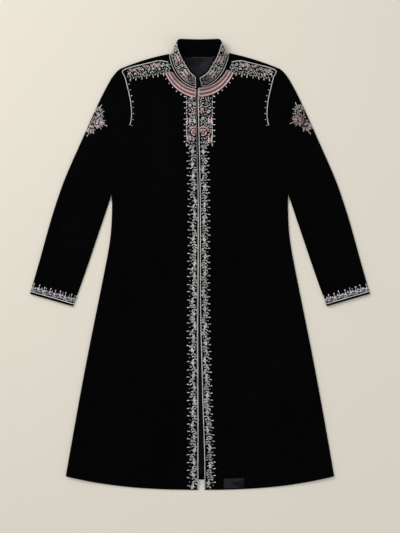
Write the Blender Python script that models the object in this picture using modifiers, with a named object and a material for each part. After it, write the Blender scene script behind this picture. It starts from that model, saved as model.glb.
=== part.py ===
# A velvet sherwani coat lying flat on its back, front up, collar toward +Y.
# Metres, +Z up, table at z = 0. Left and right are the wearer's, so left is +X.
import math

import bpy
from mathutils import Vector
from mathutils.bvhtree import BVHTree

MM = 0.001
COAT = "sherwani_coat"
SIDES = {"left": 1.0, "right": -1.0}

# Walls, and the heights at which the layers lie.
SEAM_GAP = 0.3 * MM
BACK_WALL = 2.4 * MM
LINING_WALL = 1.0 * MM
SHELL_WALL = 2.6 * MM
SHELL_MID = 7.3 * MM
HEM_MID = 1.6 * MM
BAND_WALL = 1.5 * MM
FACING_WALL = 1.2 * MM
BRAID_WALL = 1.0 * MM
CORD_RADIUS = 1.2 * MM
LABEL_WALL = 0.6 * MM

# Cut of one half, x out from the centre back and y toward the collar.
NECK_POINT = Vector((0.0825, 0.5704))
SHOULDER_POINT = Vector((0.2095, 0.5325))
UNDERARM = Vector((0.2386, 0.1892))
HEM_CORNER = Vector((0.3632, -0.5716))
HEM_LOW = -0.6093
HEM_POWER = 2.4
SHOULDER_RISE = 3.5 * MM
SIDE_SEAM = (HEM_CORNER, (0.3365, -0.4195), (0.3065, -0.2575), (0.2740, -0.0955),
             (0.2524, 0.0126), (0.2385, 0.0936), UNDERARM)
ARMHOLE = (UNDERARM, (0.2205, 0.2450), (0.2010, 0.3150), (0.1890, 0.3765),
           (0.1846, 0.4080), (0.1885, 0.4446), (0.1942, 0.4770), SHOULDER_POINT)
SLEEVE_OUTER = (SHOULDER_POINT, (0.2255, 0.5255), (0.2430, 0.4986), (0.2713, 0.4446),
                (0.3078, 0.3636), (0.3672, 0.2286), (0.4037, 0.1206), (0.4334, 0.0126),
                (0.4600, -0.0786))
SLEEVE_INNER = (UNDERARM, (0.2713, 0.0936), (0.3078, -0.0145), (0.3430, -0.1125))

# The front edges: y, x of the middle of the slit, and the slit's width.
CLOSING = {
    "y": (-0.6093, -0.5300, -0.4465, -0.3600, -0.2845, -0.1900, -0.0950,
          0.0500, 0.1700, 0.2640, 0.3390, 0.4000, 0.4500, 0.4795),
    "middle": (0.0036, 0.0037, 0.0026, 0.0009, 0.0000, -0.0017, -0.0020,
               -0.0015, -0.0016, -0.0035, -0.0053, -0.0070, -0.0080, -0.0070),
    "gap": (0.0165, 0.0165, 0.0133, 0.0110, 0.0093, 0.0069, 0.0046,
            0.0034, 0.0032, 0.0035, 0.0037, 0.0037, 0.0037, 0.0032),
}
NECK_LEVEL = 0.5704
NECK_HALF_WIDTH = 83.4 * MM
NECK_DROP = 94.2 * MM
# How far in and up the neck lies on each half, because the collar leans to the wearer's right.
NECK_SHIFT = {1.0: (-5.5 * MM, 2.3 * MM), -1.0: (0.0, 0.0)}
CHEST_Y = 0.2100
SKIRT = 0.8100
NECK_STATION = 0.1980
CAP_DEPTH = 42.0 * MM
BICEP_DOWN = 0.3300
BACK_HEM_DROP = 9.8 * MM

# A rolled edge: distance in from the fold line, and height, from the table up.
ROLL_IN = (1.3 * MM, 1.3 * MM, 2.04 * MM, 4.05 * MM, 6.8 * MM)
ROLL_UP = (0.3 * MM, 2.5 * MM, 4.9 * MM, 6.66 * MM, SHELL_MID)
FLAT_IN = (0.0, 7.0 * MM, 14.0 * MM, 21.0 * MM, 28.0 * MM)
INSET = 2.95 * MM
ROLL_RUN = 36.0 * MM

# Soft waves in the upper layer: ends, height at the crest, and width.
WAVES = (
    {"side": 1.0, "start": (0.205, 0.150), "end": (0.130, 0.010), "height": 1.2 * MM, "width": 0.020},
    {"side": 1.0, "start": (0.165, -0.100), "end": (0.215, -0.600), "height": 1.4 * MM, "width": 0.026},
    {"side": 1.0, "start": (0.268, -0.200), "end": (0.318, -0.580), "height": 1.1 * MM, "width": 0.020},
    {"side": 1.0, "start": (0.110, -0.120), "end": (0.125, -0.480), "height": -0.9 * MM, "width": 0.026},
    {"side": 1.0, "start": (0.300, 0.250), "end": (0.345, 0.175), "height": -1.0 * MM, "width": 0.016},
    {"side": 1.0, "start": (0.350, 0.110), "end": (0.395, 0.010), "height": -0.9 * MM, "width": 0.014},
    {"side": -1.0, "start": (0.200, 0.120), "end": (0.150, -0.040), "height": 1.3 * MM, "width": 0.022},
    {"side": -1.0, "start": (0.150, -0.160), "end": (0.190, -0.600), "height": 1.2 * MM, "width": 0.024},
    {"side": -1.0, "start": (0.250, -0.130), "end": (0.300, -0.580), "height": 1.4 * MM, "width": 0.024},
    {"side": -1.0, "start": (0.215, -0.060), "end": (0.235, -0.420), "height": -0.8 * MM, "width": 0.022},
    {"side": -1.0, "start": (0.285, 0.290), "end": (0.325, 0.225), "height": -0.9 * MM, "width": 0.015},
    {"side": -1.0, "start": (0.365, 0.080), "end": (0.405, -0.010), "height": -1.0 * MM, "width": 0.015},
)

# Each half of the stand collar, from the centre back round to its front end, in millimetres.
COLLAR_COLUMNS = ("baseX", "baseY", "baseZ", "topX", "topY", "topZ")
COLLAR = {
    1.0: (
        (0.0, 561.3, 2.4, 0.0, 609.0, 3.8),
        (29.0, 562.0, 2.4, 28.5, 609.3, 7.0),
        (51.5, 564.3, 2.5, 46.3, 608.8, 14.0),
        (62.0, 566.3, 2.9, 51.8, 606.4, 21.0),
        (68.5, 567.7, 3.6, 55.0, 601.0, 28.5),
        (72.8, 565.6, 4.5, 54.6, 592.0, 34.5),
        (73.9, 560.9, 5.4, 50.8, 580.2, 38.0),
        (73.2, 555.6, 6.4, 46.4, 568.1, 39.5),
        (71.3, 548.3, 7.2, 42.0, 557.0, 38.5),
        (63.3, 526.6, 7.3, 33.1, 541.1, 35.5),
        (50.7, 507.8, 7.3, 25.8, 529.3, 35.5),
        (34.3, 493.4, 7.3, 18.4, 517.8, 38.5),
        (15.1, 484.4, 7.3, 8.3, 508.9, 41.0),
        (3.2, 484.0, 7.3, -2.5, 502.5, 41.0),
    ),
    -1.0: (
        (0.0, 561.3, 2.4, 0.0, 609.0, 3.8),
        (30.0, 562.0, 2.4, 29.5, 609.3, 7.0),
        (54.0, 564.4, 2.5, 48.5, 608.8, 14.0),
        (66.5, 566.3, 2.9, 55.6, 606.4, 21.0),
        (73.4, 567.7, 3.6, 59.2, 601.0, 28.5),
        (78.2, 565.4, 4.5, 59.2, 592.0, 34.5),
        (79.6, 560.4, 5.4, 55.6, 580.0, 38.0),
        (79.0, 554.5, 6.4, 51.2, 567.5, 39.5),
        (76.8, 546.0, 7.2, 46.5, 556.0, 38.5),
        (68.8, 524.3, 7.3, 37.6, 540.1, 35.5),
        (56.2, 505.5, 7.3, 30.3, 528.3, 35.5),
        (39.8, 491.1, 7.3, 22.9, 516.8, 38.5),
        (20.6, 482.1, 7.3, 12.8, 507.9, 41.0),
        (8.5, 479.4, 7.3, 9.5, 502.5, 41.0),
    ),
}
COLLAR_BOW = 1.2 * MM
COLLAR_LAYER_GAP = 0.9 * MM
COLLAR_STEPS = 3
CORD_FROM_STATION = 4
TRIM_LIFT = 0.4 * MM

# Trims on the fronts, sleeves and hem.
# The neck braid's outer and inner edges: half width and drop of each ellipse, and its top y.
BRAID = {
    1.0: ((101.4 * MM, 116.3 * MM, 0.5177), (82.2 * MM, 92.3 * MM, 0.5250)),
    -1.0: ((105.0 * MM, 119.6 * MM, 0.5170), (86.6 * MM, 96.8 * MM, 0.5190)),
}
BRAID_EDGE = 1.5 * MM
SHOULDER_CORD = ((0.0860, 0.5470), (0.1080, 0.5505), (0.1300, 0.5460), (0.1570, 0.5395),
                 (0.1800, 0.5335), (0.1980, 0.5270), (0.2035, 0.5200), (0.1975, 0.5080),
                 (0.1935, 0.4950), (0.1895, 0.4780), (0.1855, 0.4620), (0.1820, 0.4446),
                 (0.1796, 0.4250), (0.1786, 0.4080), (0.1798, 0.3920), (0.1834, 0.3765))
# How far out each side's shoulder cord lies from that list, and the point where all of it counts.
SHOULDER_CORD_OUT = {1.0: 2.2 * MM, -1.0: 6.0 * MM}
SHOULDER_CORD_TURN = 6
CUFF_CORD_UP = 7.0 * MM
LABEL = {"from": 0.0643, "to": 0.1196}
HEM_ROWS = (0.0, 3.5 * MM, 10.0 * MM, 16.5 * MM, 23.0 * MM, 29.5 * MM, 42.0 * MM, 60.0 * MM)
LABEL_ROWS = (1, 5)

VELVET = {"color": (0.006, 0.006, 0.007, 1.0), "roughness": 0.85, "metallic": 0.0}
SATIN = {"color": (0.030, 0.029, 0.034, 1.0), "roughness": 0.35, "metallic": 0.0}
ROSE = {"color": (0.60, 0.33, 0.34, 1.0), "roughness": 0.55, "metallic": 0.0}
SILVER = {"color": (0.52, 0.50, 0.47, 1.0), "roughness": 0.40, "metallic": 0.6}


def clearFile():
    for thing in list(bpy.data.objects):
        bpy.data.objects.remove(thing)


def newCollection(name):
    group = bpy.data.collections.new(name)
    bpy.context.scene.collection.children.link(group)
    return group


def newMaterial(name, look):
    material = bpy.data.materials.new(name)
    material.use_nodes = True
    shader = material.node_tree.nodes["Principled BSDF"]
    shader.inputs["Base Color"].default_value = look["color"]
    shader.inputs["Roughness"].default_value = look["roughness"]
    shader.inputs["Metallic"].default_value = look["metallic"]
    return material


def mix(a, b, t):
    return a + (b - a) * t


def smooth(t):
    t = min(max(t, 0.0), 1.0)
    return t * t * (3.0 - 2.0 * t)


def lookUp(table, column, y):
    # Straight interpolation between the rows of a table whose y rises.
    ys = table["y"]
    values = table[column]
    if y <= ys[0]:
        return values[0]
    for low in range(len(ys) - 1):
        if y <= ys[low + 1]:
            return mix(values[low], values[low + 1], (y - ys[low]) / (ys[low + 1] - ys[low]))
    return values[-1]


def splinePoints(points, steps):
    # A Catmull-Rom curve through the points, with steps spans between each two.
    knots = [Vector(point) for point in points]
    knots = [knots[0] * 2 - knots[1]] + knots + [knots[-1] * 2 - knots[-2]]
    curve = []
    for k in range(1, len(knots) - 2):
        before, here, there, after = knots[k - 1:k + 3]
        for step in range(steps):
            t = step / steps
            curve.append(0.5 * (2 * here + (there - before) * t
                                + (2 * before - 5 * here + 4 * there - after) * t ** 2
                                + (3 * here - before - 3 * there + after) * t ** 3))
    curve.append(knots[-2])
    return curve


class Route:
    # A curve that is read by the distance along it.
    def __init__(self, points):
        self.points = points
        self.marks = [0.0]
        for a, b in zip(points, points[1:]):
            self.marks.append(self.marks[-1] + (b - a).length)
        self.length = self.marks[-1]

    def at(self, distance):
        distance = min(max(distance, 0.0), self.length)
        for k in range(len(self.marks) - 1):
            if distance <= self.marks[k + 1]:
                span = self.marks[k + 1] - self.marks[k]
                return self.points[k].lerp(self.points[k + 1], (distance - self.marks[k]) / span)
        return self.points[-1].copy()


def neckCurve(side, steps=24):
    # A quarter ellipse from the centre front round to the neck point.
    middle = Vector((0.0, NECK_LEVEL)) + Vector(NECK_SHIFT[side])
    turns = [math.pi / 2 * k / steps for k in range(steps + 1)]
    return [middle + Vector((NECK_HALF_WIDTH * math.sin(t), -NECK_DROP * math.cos(t))) for t in turns]


def neckBottom(side):
    return NECK_LEVEL - NECK_DROP + NECK_SHIFT[side][1]


def armholeStations(length):
    # Distances up the armhole that the front, the back and both sleeve pieces share.
    chest = [mix(FLAT_IN[-1], NECK_STATION, k / 4) for k in (1, 2, 3, 4)]
    yoke = [mix(NECK_STATION, length - ROLL_IN[-1], k / 6) for k in range(1, 6)]
    top = [length - inward for inward in reversed(ROLL_IN)]
    return list(FLAT_IN) + chest + yoke + top


ARMHOLE_CURVE = Route(splinePoints(ARMHOLE, 12))
STATIONS = armholeStations(ARMHOLE_CURVE.length)
STATION_HEIGHTS = [SHELL_MID] * (len(STATIONS) - len(ROLL_UP)) + list(reversed(ROLL_UP))
ARMHOLE_CORNERS = sorted(set(STATIONS + [ARMHOLE_CURVE.length]))
ARMHOLE_ROUTE = Route([ARMHOLE_CURVE.at(station) for station in ARMHOLE_CORNERS])
SIDE_ROUTE = Route(splinePoints(SIDE_SEAM, 12))
OUTER_ROUTE = Route(splinePoints(SLEEVE_OUTER, 12))
INNER_ROUTE = Route(splinePoints(SLEEVE_INNER, 12))
NECK_ROUTES = {side: Route(neckCurve(side)) for side in SIDES.values()}


def hemY(x, low, rise):
    return low + rise * (abs(x) / HEM_CORNER.x) ** HEM_POWER


def backHemY(x):
    return hemY(x, HEM_CORNER.y - BACK_HEM_DROP, BACK_HEM_DROP)


def waveHeight(side, x, y):
    # x is measured out from the centre of the half that side names.
    height = 0.0
    for wave in WAVES:
        if wave["side"] != side:
            continue
        start = Vector(wave["start"])
        along = Vector(wave["end"]) - start
        t = (Vector((x, y)) - start).dot(along) / along.length_squared
        nearest = start + along * min(max(t, 0.0), 1.0)
        off = (Vector((x, y)) - nearest).length / wave["width"]
        height += wave["height"] * math.exp(-off * off)
    return height


def frontEdge(side, y):
    # The front's cut edge, in x out from the centre of its own half.
    return Vector((side * lookUp(CLOSING, "middle", y) + lookUp(CLOSING, "gap", y) / 2, y))


def frontInner(side, station):
    # The front edge up to the neck, then the neck seam, matched to an armhole station.
    bottom = neckBottom(side)
    neck = NECK_ROUTES[side]
    if station <= NECK_STATION:
        return frontEdge(side, mix(CHEST_Y, bottom, station / NECK_STATION))
    left = ARMHOLE_CURVE.length - station
    if left <= ROLL_IN[-1]:
        return neck.at(neck.length - left)
    start = frontEdge(side, bottom).x - NECK_SHIFT[side][0]
    share = (station - NECK_STATION) / (ARMHOLE_CURVE.length - ROLL_IN[-1] - NECK_STATION)
    return neck.at(mix(start, neck.length - ROLL_IN[-1], share))


def frontRows(side):
    # Each row: its two ends, its height, how far the side is rolled, and its bow.
    rows = []
    plain = [mix(HEM_ROWS[-1], SKIRT - ROLL_RUN, k / 9) for k in range(1, 9)]
    rolling = [SKIRT - ROLL_RUN * k / 4 for k in (4, 3, 2, 1)]
    for up in list(HEM_ROWS) + plain + rolling:
        share = up / SKIRT
        rows.append({
            "inner": frontEdge(side, mix(HEM_LOW, CHEST_Y, share)),
            "outer": SIDE_ROUTE.at(share * SIDE_ROUTE.length),
            "height": SHELL_MID,
            "rolled": min(1.0, (SKIRT - up) / ROLL_RUN),
            "hemBow": max(0.0, 1.0 - up / 0.30) ** 2,
            "topBow": 0.0,
        })
    for station, height in zip(STATIONS, STATION_HEIGHTS):
        rows.append({
            "inner": frontInner(side, station),
            "outer": ARMHOLE_CURVE.at(station),
            "height": height,
            "rolled": 0.0,
            "hemBow": 0.0,
            "topBow": smooth((station - NECK_STATION) / (ARMHOLE_CURVE.length - NECK_STATION)),
        })
    return rows


def frontRowPoint(row, share):
    point = row["inner"].lerp(row["outer"], share)
    if row["hemBow"]:
        chord = mix(HEM_LOW, HEM_CORNER.y, share)
        x = mix(0.0, HEM_CORNER.x, share)
        point.y += (hemY(x, HEM_LOW, HEM_CORNER.y - HEM_LOW) - chord) * row["hemBow"]
    point.y += SHOULDER_RISE * 4 * share * (1 - share) * row["topBow"]
    return point


def shellPoint(side, plan, height):
    # A point of the upper layer's middle: its own height, the waves, and the fall at the hem.
    calm = (height / SHELL_MID) ** 2
    nearEdge = smooth((plan.x - 0.07) / 0.05)
    past = backHemY(plan.x) - plan.y
    fall = (SHELL_MID - HEM_MID) * smooth((past - 1 * MM) / (24 * MM))
    z = height + waveHeight(side, plan.x, plan.y) * calm * nearEdge
    z -= fall * min(1.0, height / SHELL_MID)
    return Vector((side * plan.x, plan.y, z))


def rolledColumns(length, rolled):
    # Distance in from the fold, and height, of the columns of a rolled or flat edge.
    columns = []
    squeeze = min(1.0, 0.35 * length / FLAT_IN[-1])
    for flatIn, rollIn, rollUp in zip(FLAT_IN, ROLL_IN, ROLL_UP):
        inward = mix(flatIn * squeeze, rollIn, rolled)
        columns.append((inward, mix(SHELL_MID, rollUp, rolled)))
    return columns


def frontGrid(side):
    grid = []
    middle = 8
    for row in frontRows(side):
        length = (row["outer"] - row["inner"]).length
        columns = rolledColumns(length, row["rolled"])
        lastFlat = 1.0 - columns[-1][0] / length
        line = []
        for k in range(middle):
            line.append(shellPoint(side, frontRowPoint(row, lastFlat * k / middle), row["height"]))
        for inward, height in reversed(columns):
            height = height * row["height"] / SHELL_MID
            line.append(shellPoint(side, frontRowPoint(row, 1.0 - inward / length), height))
        if row["rolled"] == 0.0:
            line[-1] = line[-1] + (line[-2] - line[-1]).normalized() * SEAM_GAP * 0.7
        grid.append(line)
    return grid


def sleeveRows():
    # Rows across the sleeve, from the armhole or its inner fold out to its outer fold.
    rows = []
    first = ARMHOLE_CURVE.length - ROLL_IN[-1] - CAP_DEPTH
    inner = [first] + [station for station in reversed(STATIONS) if station < first - 5 * MM]
    for station in inner:
        rows.append({
            "inner": ARMHOLE_CURVE.at(station),
            "outer": OUTER_ROUTE.at((first - station) / first * BICEP_DOWN),
            "rolled": 0.0,
        })
    length = INNER_ROUTE.length
    rolling = [ROLL_RUN * k / 4 for k in (1, 2, 3, 4)]
    plain = [mix(ROLL_RUN, length - CUFF_CORD_UP, k / 6) for k in range(1, 6)]
    for down in rolling + plain + [length - CUFF_CORD_UP, length]:
        rows.append({
            "inner": INNER_ROUTE.at(down),
            "outer": OUTER_ROUTE.at(mix(BICEP_DOWN, OUTER_ROUTE.length, down / length)),
            "rolled": min(1.0, down / ROLL_RUN),
        })
    return rows


def sleeveGrid(side):
    grid = []
    middle = 5
    for row in sleeveRows():
        route = Route([row["inner"], row["outer"]])
        if row["outer"] == OUTER_ROUTE.points[0]:
            route = Route([p for p in ARMHOLE_ROUTE.points if p.y >= row["inner"].y - 1e-6])
        columns = rolledColumns(route.length, row["rolled"])
        low = columns[-1][0]
        high = route.length - ROLL_IN[-1]
        columns += [(mix(low, high, k / middle), SHELL_MID) for k in range(1, middle)]
        columns += [(route.length - rollIn, rollUp) for rollIn, rollUp in reversed(list(zip(ROLL_IN, ROLL_UP)))]
        line = [shellPoint(side, route.at(across), up) for across, up in columns]
        if row["rolled"] == 0.0:
            line[0] = line[0] + (line[1] - line[0]).normalized() * SEAM_GAP * 0.7
        grid.append(line)
    top, second = grid[0], grid[1]
    grid[0] = [a + (b - a).normalized() * SEAM_GAP * 0.7 for a, b in zip(top, second)]
    return grid


def meshFromGrid(name, grid, flip):
    wide = len(grid[0])
    vertices = [point for line in grid for point in line]
    faces = []
    for r in range(len(grid) - 1):
        for c in range(wide - 1):
            corner = r * wide + c
            quad = (corner, corner + 1, corner + wide + 1, corner + wide)
            faces.append(tuple(reversed(quad)) if flip else quad)
    mesh = bpy.data.meshes.new(name)
    mesh.from_pydata(vertices, [], faces)
    return mesh


def addShell(group, name, grid, wall, material, flip=False):
    # An open surface given its cloth's thickness, half on each side.
    mesh = meshFromGrid(name, grid, flip)
    mesh.shade_smooth()
    shell = bpy.data.objects.new(name, mesh)
    shell.data.materials.append(material)
    solid = shell.modifiers.new("wall", "SOLIDIFY")
    solid.thickness = wall
    solid.offset = 0.0
    solid.use_even_offset = True
    group.objects.link(shell)
    return shell


def addPlate(group, name, outline, low, wall, material):
    # A flat panel cut to an outline, lying at the height low.
    curve = bpy.data.curves.new(name, "CURVE")
    curve.dimensions = "2D"
    curve.fill_mode = "BOTH"
    curve.extrude = wall / 2
    line = curve.splines.new("POLY")
    line.points.add(len(outline) - 1)
    for knot, point in zip(line.points, outline):
        knot.co = (point.x, point.y, 0.0, 1.0)
    line.use_cyclic_u = True
    curve.materials.append(material)
    plate = bpy.data.objects.new(name, curve)
    plate.location = (0.0, 0.0, low + wall / 2)
    group.objects.link(plate)
    return plate


def addCord(group, name, points, material):
    curve = bpy.data.curves.new(name, "CURVE")
    curve.dimensions = "3D"
    curve.bevel_depth = CORD_RADIUS
    curve.bevel_resolution = 2
    curve.use_fill_caps = True
    line = curve.splines.new("POLY")
    line.points.add(len(points) - 1)
    for knot, point in zip(line.points, points):
        knot.co = (point.x, point.y, point.z, 1.0)
    curve.materials.append(material)
    cord = bpy.data.objects.new(name, curve)
    group.objects.link(cord)
    return cord


def bothSides(half):
    # The outline of a whole piece from its right-hand half, bottom to top.
    return half + [Vector((-point.x, point.y)) for point in reversed(half)]


def backHalf():
    # Centre hem, out to the side, up the side and armhole, along the shoulder to the neck.
    half = []
    for k in range(1, 9):
        x = (HEM_CORNER.x - INSET) * k / 8
        half.append(Vector((x, backHemY(x))))
    for row in frontRows(1.0):
        if row["rolled"] == 0.0 or row["inner"].y < HEM_CORNER.y + 30 * MM:
            continue
        length = (row["outer"] - row["inner"]).length
        inset = INSET if row["rolled"] == 1.0 else 1.5 * INSET
        half.append(frontRowPoint(row, 1.0 - inset / length))
    for station in STATIONS[:-len(ROLL_IN)]:
        half.append(ARMHOLE_CURVE.at(station) - Vector((SEAM_GAP * 0.7, 0.0)))
    top = ARMHOLE_ROUTE.length - INSET
    neck = NECK_ROUTES[-1.0]
    row = {"inner": neck.at(neck.length - INSET), "outer": ARMHOLE_ROUTE.at(top),
           "hemBow": 0.0, "topBow": 1.0}
    half.append(row["outer"] - Vector((SEAM_GAP * 0.7, 0.0)))
    for k in range(4, -1, -1):
        half.append(frontRowPoint(row, k / 5))
    return half


def backNeck():
    # The back neck seam, just below the collar, from near the neck point to the centre.
    return [Vector((x, y - 0.9 * MM)) for x, y in
            ((0.0705, 0.5667), (0.0580, 0.5650), (0.0320, 0.5622), (0.0120, 0.5614))]


def addBack(group, velvet, satin):
    addPlate(group, "back", bothSides(backHalf() + backNeck()), 0.0, BACK_WALL, velvet)
    margin = 14 * MM
    half = []
    for k in range(1, 9):
        x = (HEM_CORNER.x - margin) * k / 8
        half.append(Vector((x, backHemY(x) + margin)))
    for y in (-0.45, -0.30, -0.15, 0.0, 0.13, 0.19):
        side = next(p for p in SIDE_ROUTE.points if p.y >= y - 0.01)
        half.append(Vector((side.x - margin, y)))
    for x, y in ((0.1990, 0.260), (0.1760, 0.340), (0.1680, 0.410), (0.1850, 0.500)):
        half.append(Vector((x, y)))
    half.append(Vector((0.0900, 0.5400)))
    half += backNeck()
    addPlate(group, "back_lining", bothSides(half), BACK_WALL + SEAM_GAP, LINING_WALL, satin)


def addUnderSleeve(group, name, side, velvet):
    # Inside the rolled edges of the top sleeve, and up to the back's armhole.
    gap = Vector((SEAM_GAP * 0.7, 0.0))
    outerSide = [ARMHOLE_ROUTE.at(ARMHOLE_ROUTE.length - INSET) + gap]
    innerSide = []
    for row in sleeveRows():
        inward = (row["inner"] - row["outer"]).normalized()
        if row["outer"] != OUTER_ROUTE.points[0]:
            outerSide.append(row["outer"] + inward * INSET)
        if row["rolled"] > 0.0:
            inset = INSET if row["rolled"] == 1.0 else 1.5 * INSET
            innerSide.append(row["inner"] - inward * inset)
    outline = outerSide + list(reversed(innerSide))
    outline += [ARMHOLE_CURVE.at(station) + gap for station in STATIONS[:-len(ROLL_IN)]]
    outline = [Vector((side * point.x, point.y)) for point in outline]
    addPlate(group, name, outline, 0.0, BACK_WALL, velvet)


def collarStations(side):
    # One half of the collar as base and top points.
    rows = [dict(zip(COLLAR_COLUMNS, row)) for row in COLLAR[side]]
    bases = [Vector((side * r["baseX"], r["baseY"], r["baseZ"])) * MM for r in rows]
    tops = [Vector((side * r["topX"], r["topY"], r["topZ"])) * MM for r in rows]
    return list(zip(splinePoints(bases, COLLAR_STEPS), splinePoints(tops, COLLAR_STEPS)))


def collarGrid(lift):
    # Stations from the left front end round the back to the right one, moved out by lift.
    left = collarStations(1.0)
    right = collarStations(-1.0)
    stations = list(reversed(left)) + right[1:]
    grid = []
    for k, (base, top) in enumerate(stations):
        before = stations[max(k - 1, 0)]
        after = stations[min(k + 1, len(stations) - 1)]
        out = ((after[0] + after[1]) - (before[0] + before[1])).cross(top - base).normalized()
        upright = min(1.0, (top.z - base.z) / (25 * MM))
        middle = base.lerp(top, 0.5) + out * COLLAR_BOW * upright
        grid.append([point + out * lift for point in (base, middle, top)])
    return grid


def collarCord(side):
    # Along the top from the turn to the front end, down the end and back along the base.
    lift = COLLAR_LAYER_GAP / 2 + BAND_WALL + 2 * TRIM_LIFT + CORD_RADIUS
    grid = collarGrid(lift)
    if side < 0:
        grid = list(reversed(grid))
    half = grid[:len(grid) // 2 + 1 - COLLAR_STEPS * CORD_FROM_STATION]
    inEnd = (half[1][1] - half[0][1]).normalized() * 1.5 * MM
    top = [line[1].lerp(line[2], 0.90) for line in half]
    base = [line[1].lerp(line[0], 0.90) for line in half]
    top[0] = top[0] + inEnd
    base[0] = base[0] + inEnd
    return list(reversed(top)) + [half[0][1] + inEnd] + base


def addCollar(group, velvet, silver):
    band = COLLAR_LAYER_GAP / 2 + BAND_WALL / 2
    facing = COLLAR_LAYER_GAP / 2 + FACING_WALL / 2
    addShell(group, "collar_band", collarGrid(band), BAND_WALL, velvet)
    addShell(group, "collar_facing", collarGrid(-facing), FACING_WALL, velvet)
    for word, side in SIDES.items():
        addCord(group, "collar_cord_" + word, collarCord(side), silver)


def surfaceTree(grids, wall):
    # The outer faces of some panels, for laying trims on them.
    points = []
    polygons = []
    up = Vector((0.0, 0.0, wall / 2))
    for grid in grids:
        first = len(points)
        wide = len(grid[0])
        points += [point + up for line in grid for point in line]
        for r in range(len(grid) - 1):
            for c in range(wide - 1):
                corner = first + r * wide + c
                polygons.append((corner, corner + 1, corner + wide + 1, corner + wide))
    return BVHTree.FromPolygons(points, polygons)


def shoulderCord(side, tree):
    # Along the shoulder and down the armhole seam, on the cloth under it.
    lift = TRIM_LIFT + CORD_RADIUS
    points = []
    for k, (x, y) in enumerate(SHOULDER_CORD):
        out = SHOULDER_CORD_OUT[side] * min(1.0, k / SHOULDER_CORD_TURN)
        hit = tree.ray_cast(Vector((side * (x + out), y, 1.0)), Vector((0.0, 0.0, -1.0)))
        level = hit[0].z if hit[0] else SHELL_MID + SHELL_WALL / 2    # over the seam's own gap
        points.append(Vector((side * (x + out), y, level + lift)))
    return points


def edgeCord(side, grid):
    # A row of points just in from the front edge, on the front's own rows.
    lift = Vector((0.0, 0.0, SHELL_WALL / 2 + TRIM_LIFT + CORD_RADIUS))
    points = []
    for line in grid:
        if line[0].y > neckBottom(side) + 0.5 * MM:
            break
        inward = (line[1] - line[0]).normalized()
        points.append(line[0] + inward * CORD_RADIUS + lift)
    for end, beside in ((0, 1), (-1, -2)):
        points[end] = points[end] + (points[beside] - points[end]).normalized() * CORD_RADIUS
    return points


def cuffCord(grid):
    # Across the top of the cuff, a little up from its edge and down both rolled sides.
    line = grid[-2]
    points = []
    for c in range(1, len(line) - 1):
        across = (line[c + 1] - line[c - 1]).normalized()
        along = (grid[-1][c] - grid[-3][c]).normalized()
        out = across.cross(along).normalized()
        if out.z < 0:
            out = -out
        if c in (1, len(line) - 2):
            out = Vector((out.x, out.y, 0.0)).normalized()
        points.append(line[c] + out * (SHELL_WALL / 2 + TRIM_LIFT + CORD_RADIUS))
    return points


def braidOutline(side):
    # The band round the neck of one front, from its front edge up to the shoulder band.
    outline = []
    steps = 10
    for (halfWidth, drop, topY), order in zip(BRAID[side], (1, -1)):
        last = math.acos((NECK_LEVEL - topY) / drop)
        edge = frontEdge(side, NECK_LEVEL - drop).x + BRAID_EDGE + 2 * CORD_RADIUS
        first = math.asin(edge / halfWidth)
        turns = [mix(first, last, k / steps) for k in range(steps + 1)]
        arc = [(halfWidth * math.sin(t), NECK_LEVEL - drop * math.cos(t)) for t in turns]
        outline += [Vector((side * x, y)) for x, y in arc[::order]]
    return outline


def labelGrid(grid):
    # The label lies on the front's own hem rows, between two distances from the centre.
    lift = Vector((0.0, 0.0, SHELL_WALL / 2 + SEAM_GAP + LABEL_WALL / 2))
    rows = []
    for line in grid[LABEL_ROWS[0]:LABEL_ROWS[1] + 1]:
        cells = list(zip(line, line[1:]))
        wanted = [LABEL["from"]] + [p.x for p in line if LABEL["from"] < p.x < LABEL["to"]]
        points = []
        for x in wanted + [LABEL["to"]]:
            a, b = next((a, b) for a, b in cells if a.x <= x <= b.x)
            points.append(a.lerp(b, (x - a.x) / (b.x - a.x)) + lift)
        rows.append(points)
    return rows


def buildCoat():
    clearFile()
    coat = newCollection(COAT)
    velvet = newMaterial("black velvet", VELVET)
    satin = newMaterial("charcoal satin", SATIN)
    rose = newMaterial("rose braid", ROSE)
    silver = newMaterial("silver cord", SILVER)
    addBack(coat, velvet, satin)
    for word, side in SIDES.items():
        front = frontGrid(side)
        sleeve = sleeveGrid(side)
        addShell(coat, "front_" + word, front, SHELL_WALL, velvet, flip=side < 0)
        addShell(coat, "sleeve_top_" + word, sleeve, SHELL_WALL, velvet, flip=side < 0)
        addUnderSleeve(coat, "sleeve_under_" + word, side, velvet)
        addCord(coat, "front_edge_cord_" + word, edgeCord(side, front), silver)
        addCord(coat, "cuff_cord_" + word, cuffCord(sleeve), silver)
        tree = surfaceTree((front, sleeve), SHELL_WALL)
        addCord(coat, "shoulder_cord_" + word, shoulderCord(side, tree), silver)
        top = SHELL_MID + SHELL_WALL / 2 + SEAM_GAP
        addPlate(coat, "neck_braid_" + word, braidOutline(side), top, BRAID_WALL, rose)
        if side > 0:
            addShell(coat, "hem_label", labelGrid(front), LABEL_WALL, satin)
    addCollar(coat, velvet, silver)


buildCoat()
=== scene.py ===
# A velvet sherwani laid out flat: its nap, satin, cords, neck braid and thread embroidery.
# Embroidery is planned in half coordinates, x out from the centre front, then laid on the cloth.
import math
import random

import bmesh
import bpy
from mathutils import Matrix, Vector
from mathutils.bvhtree import BVHTree
from mathutils.kdtree import KDTree


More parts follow.
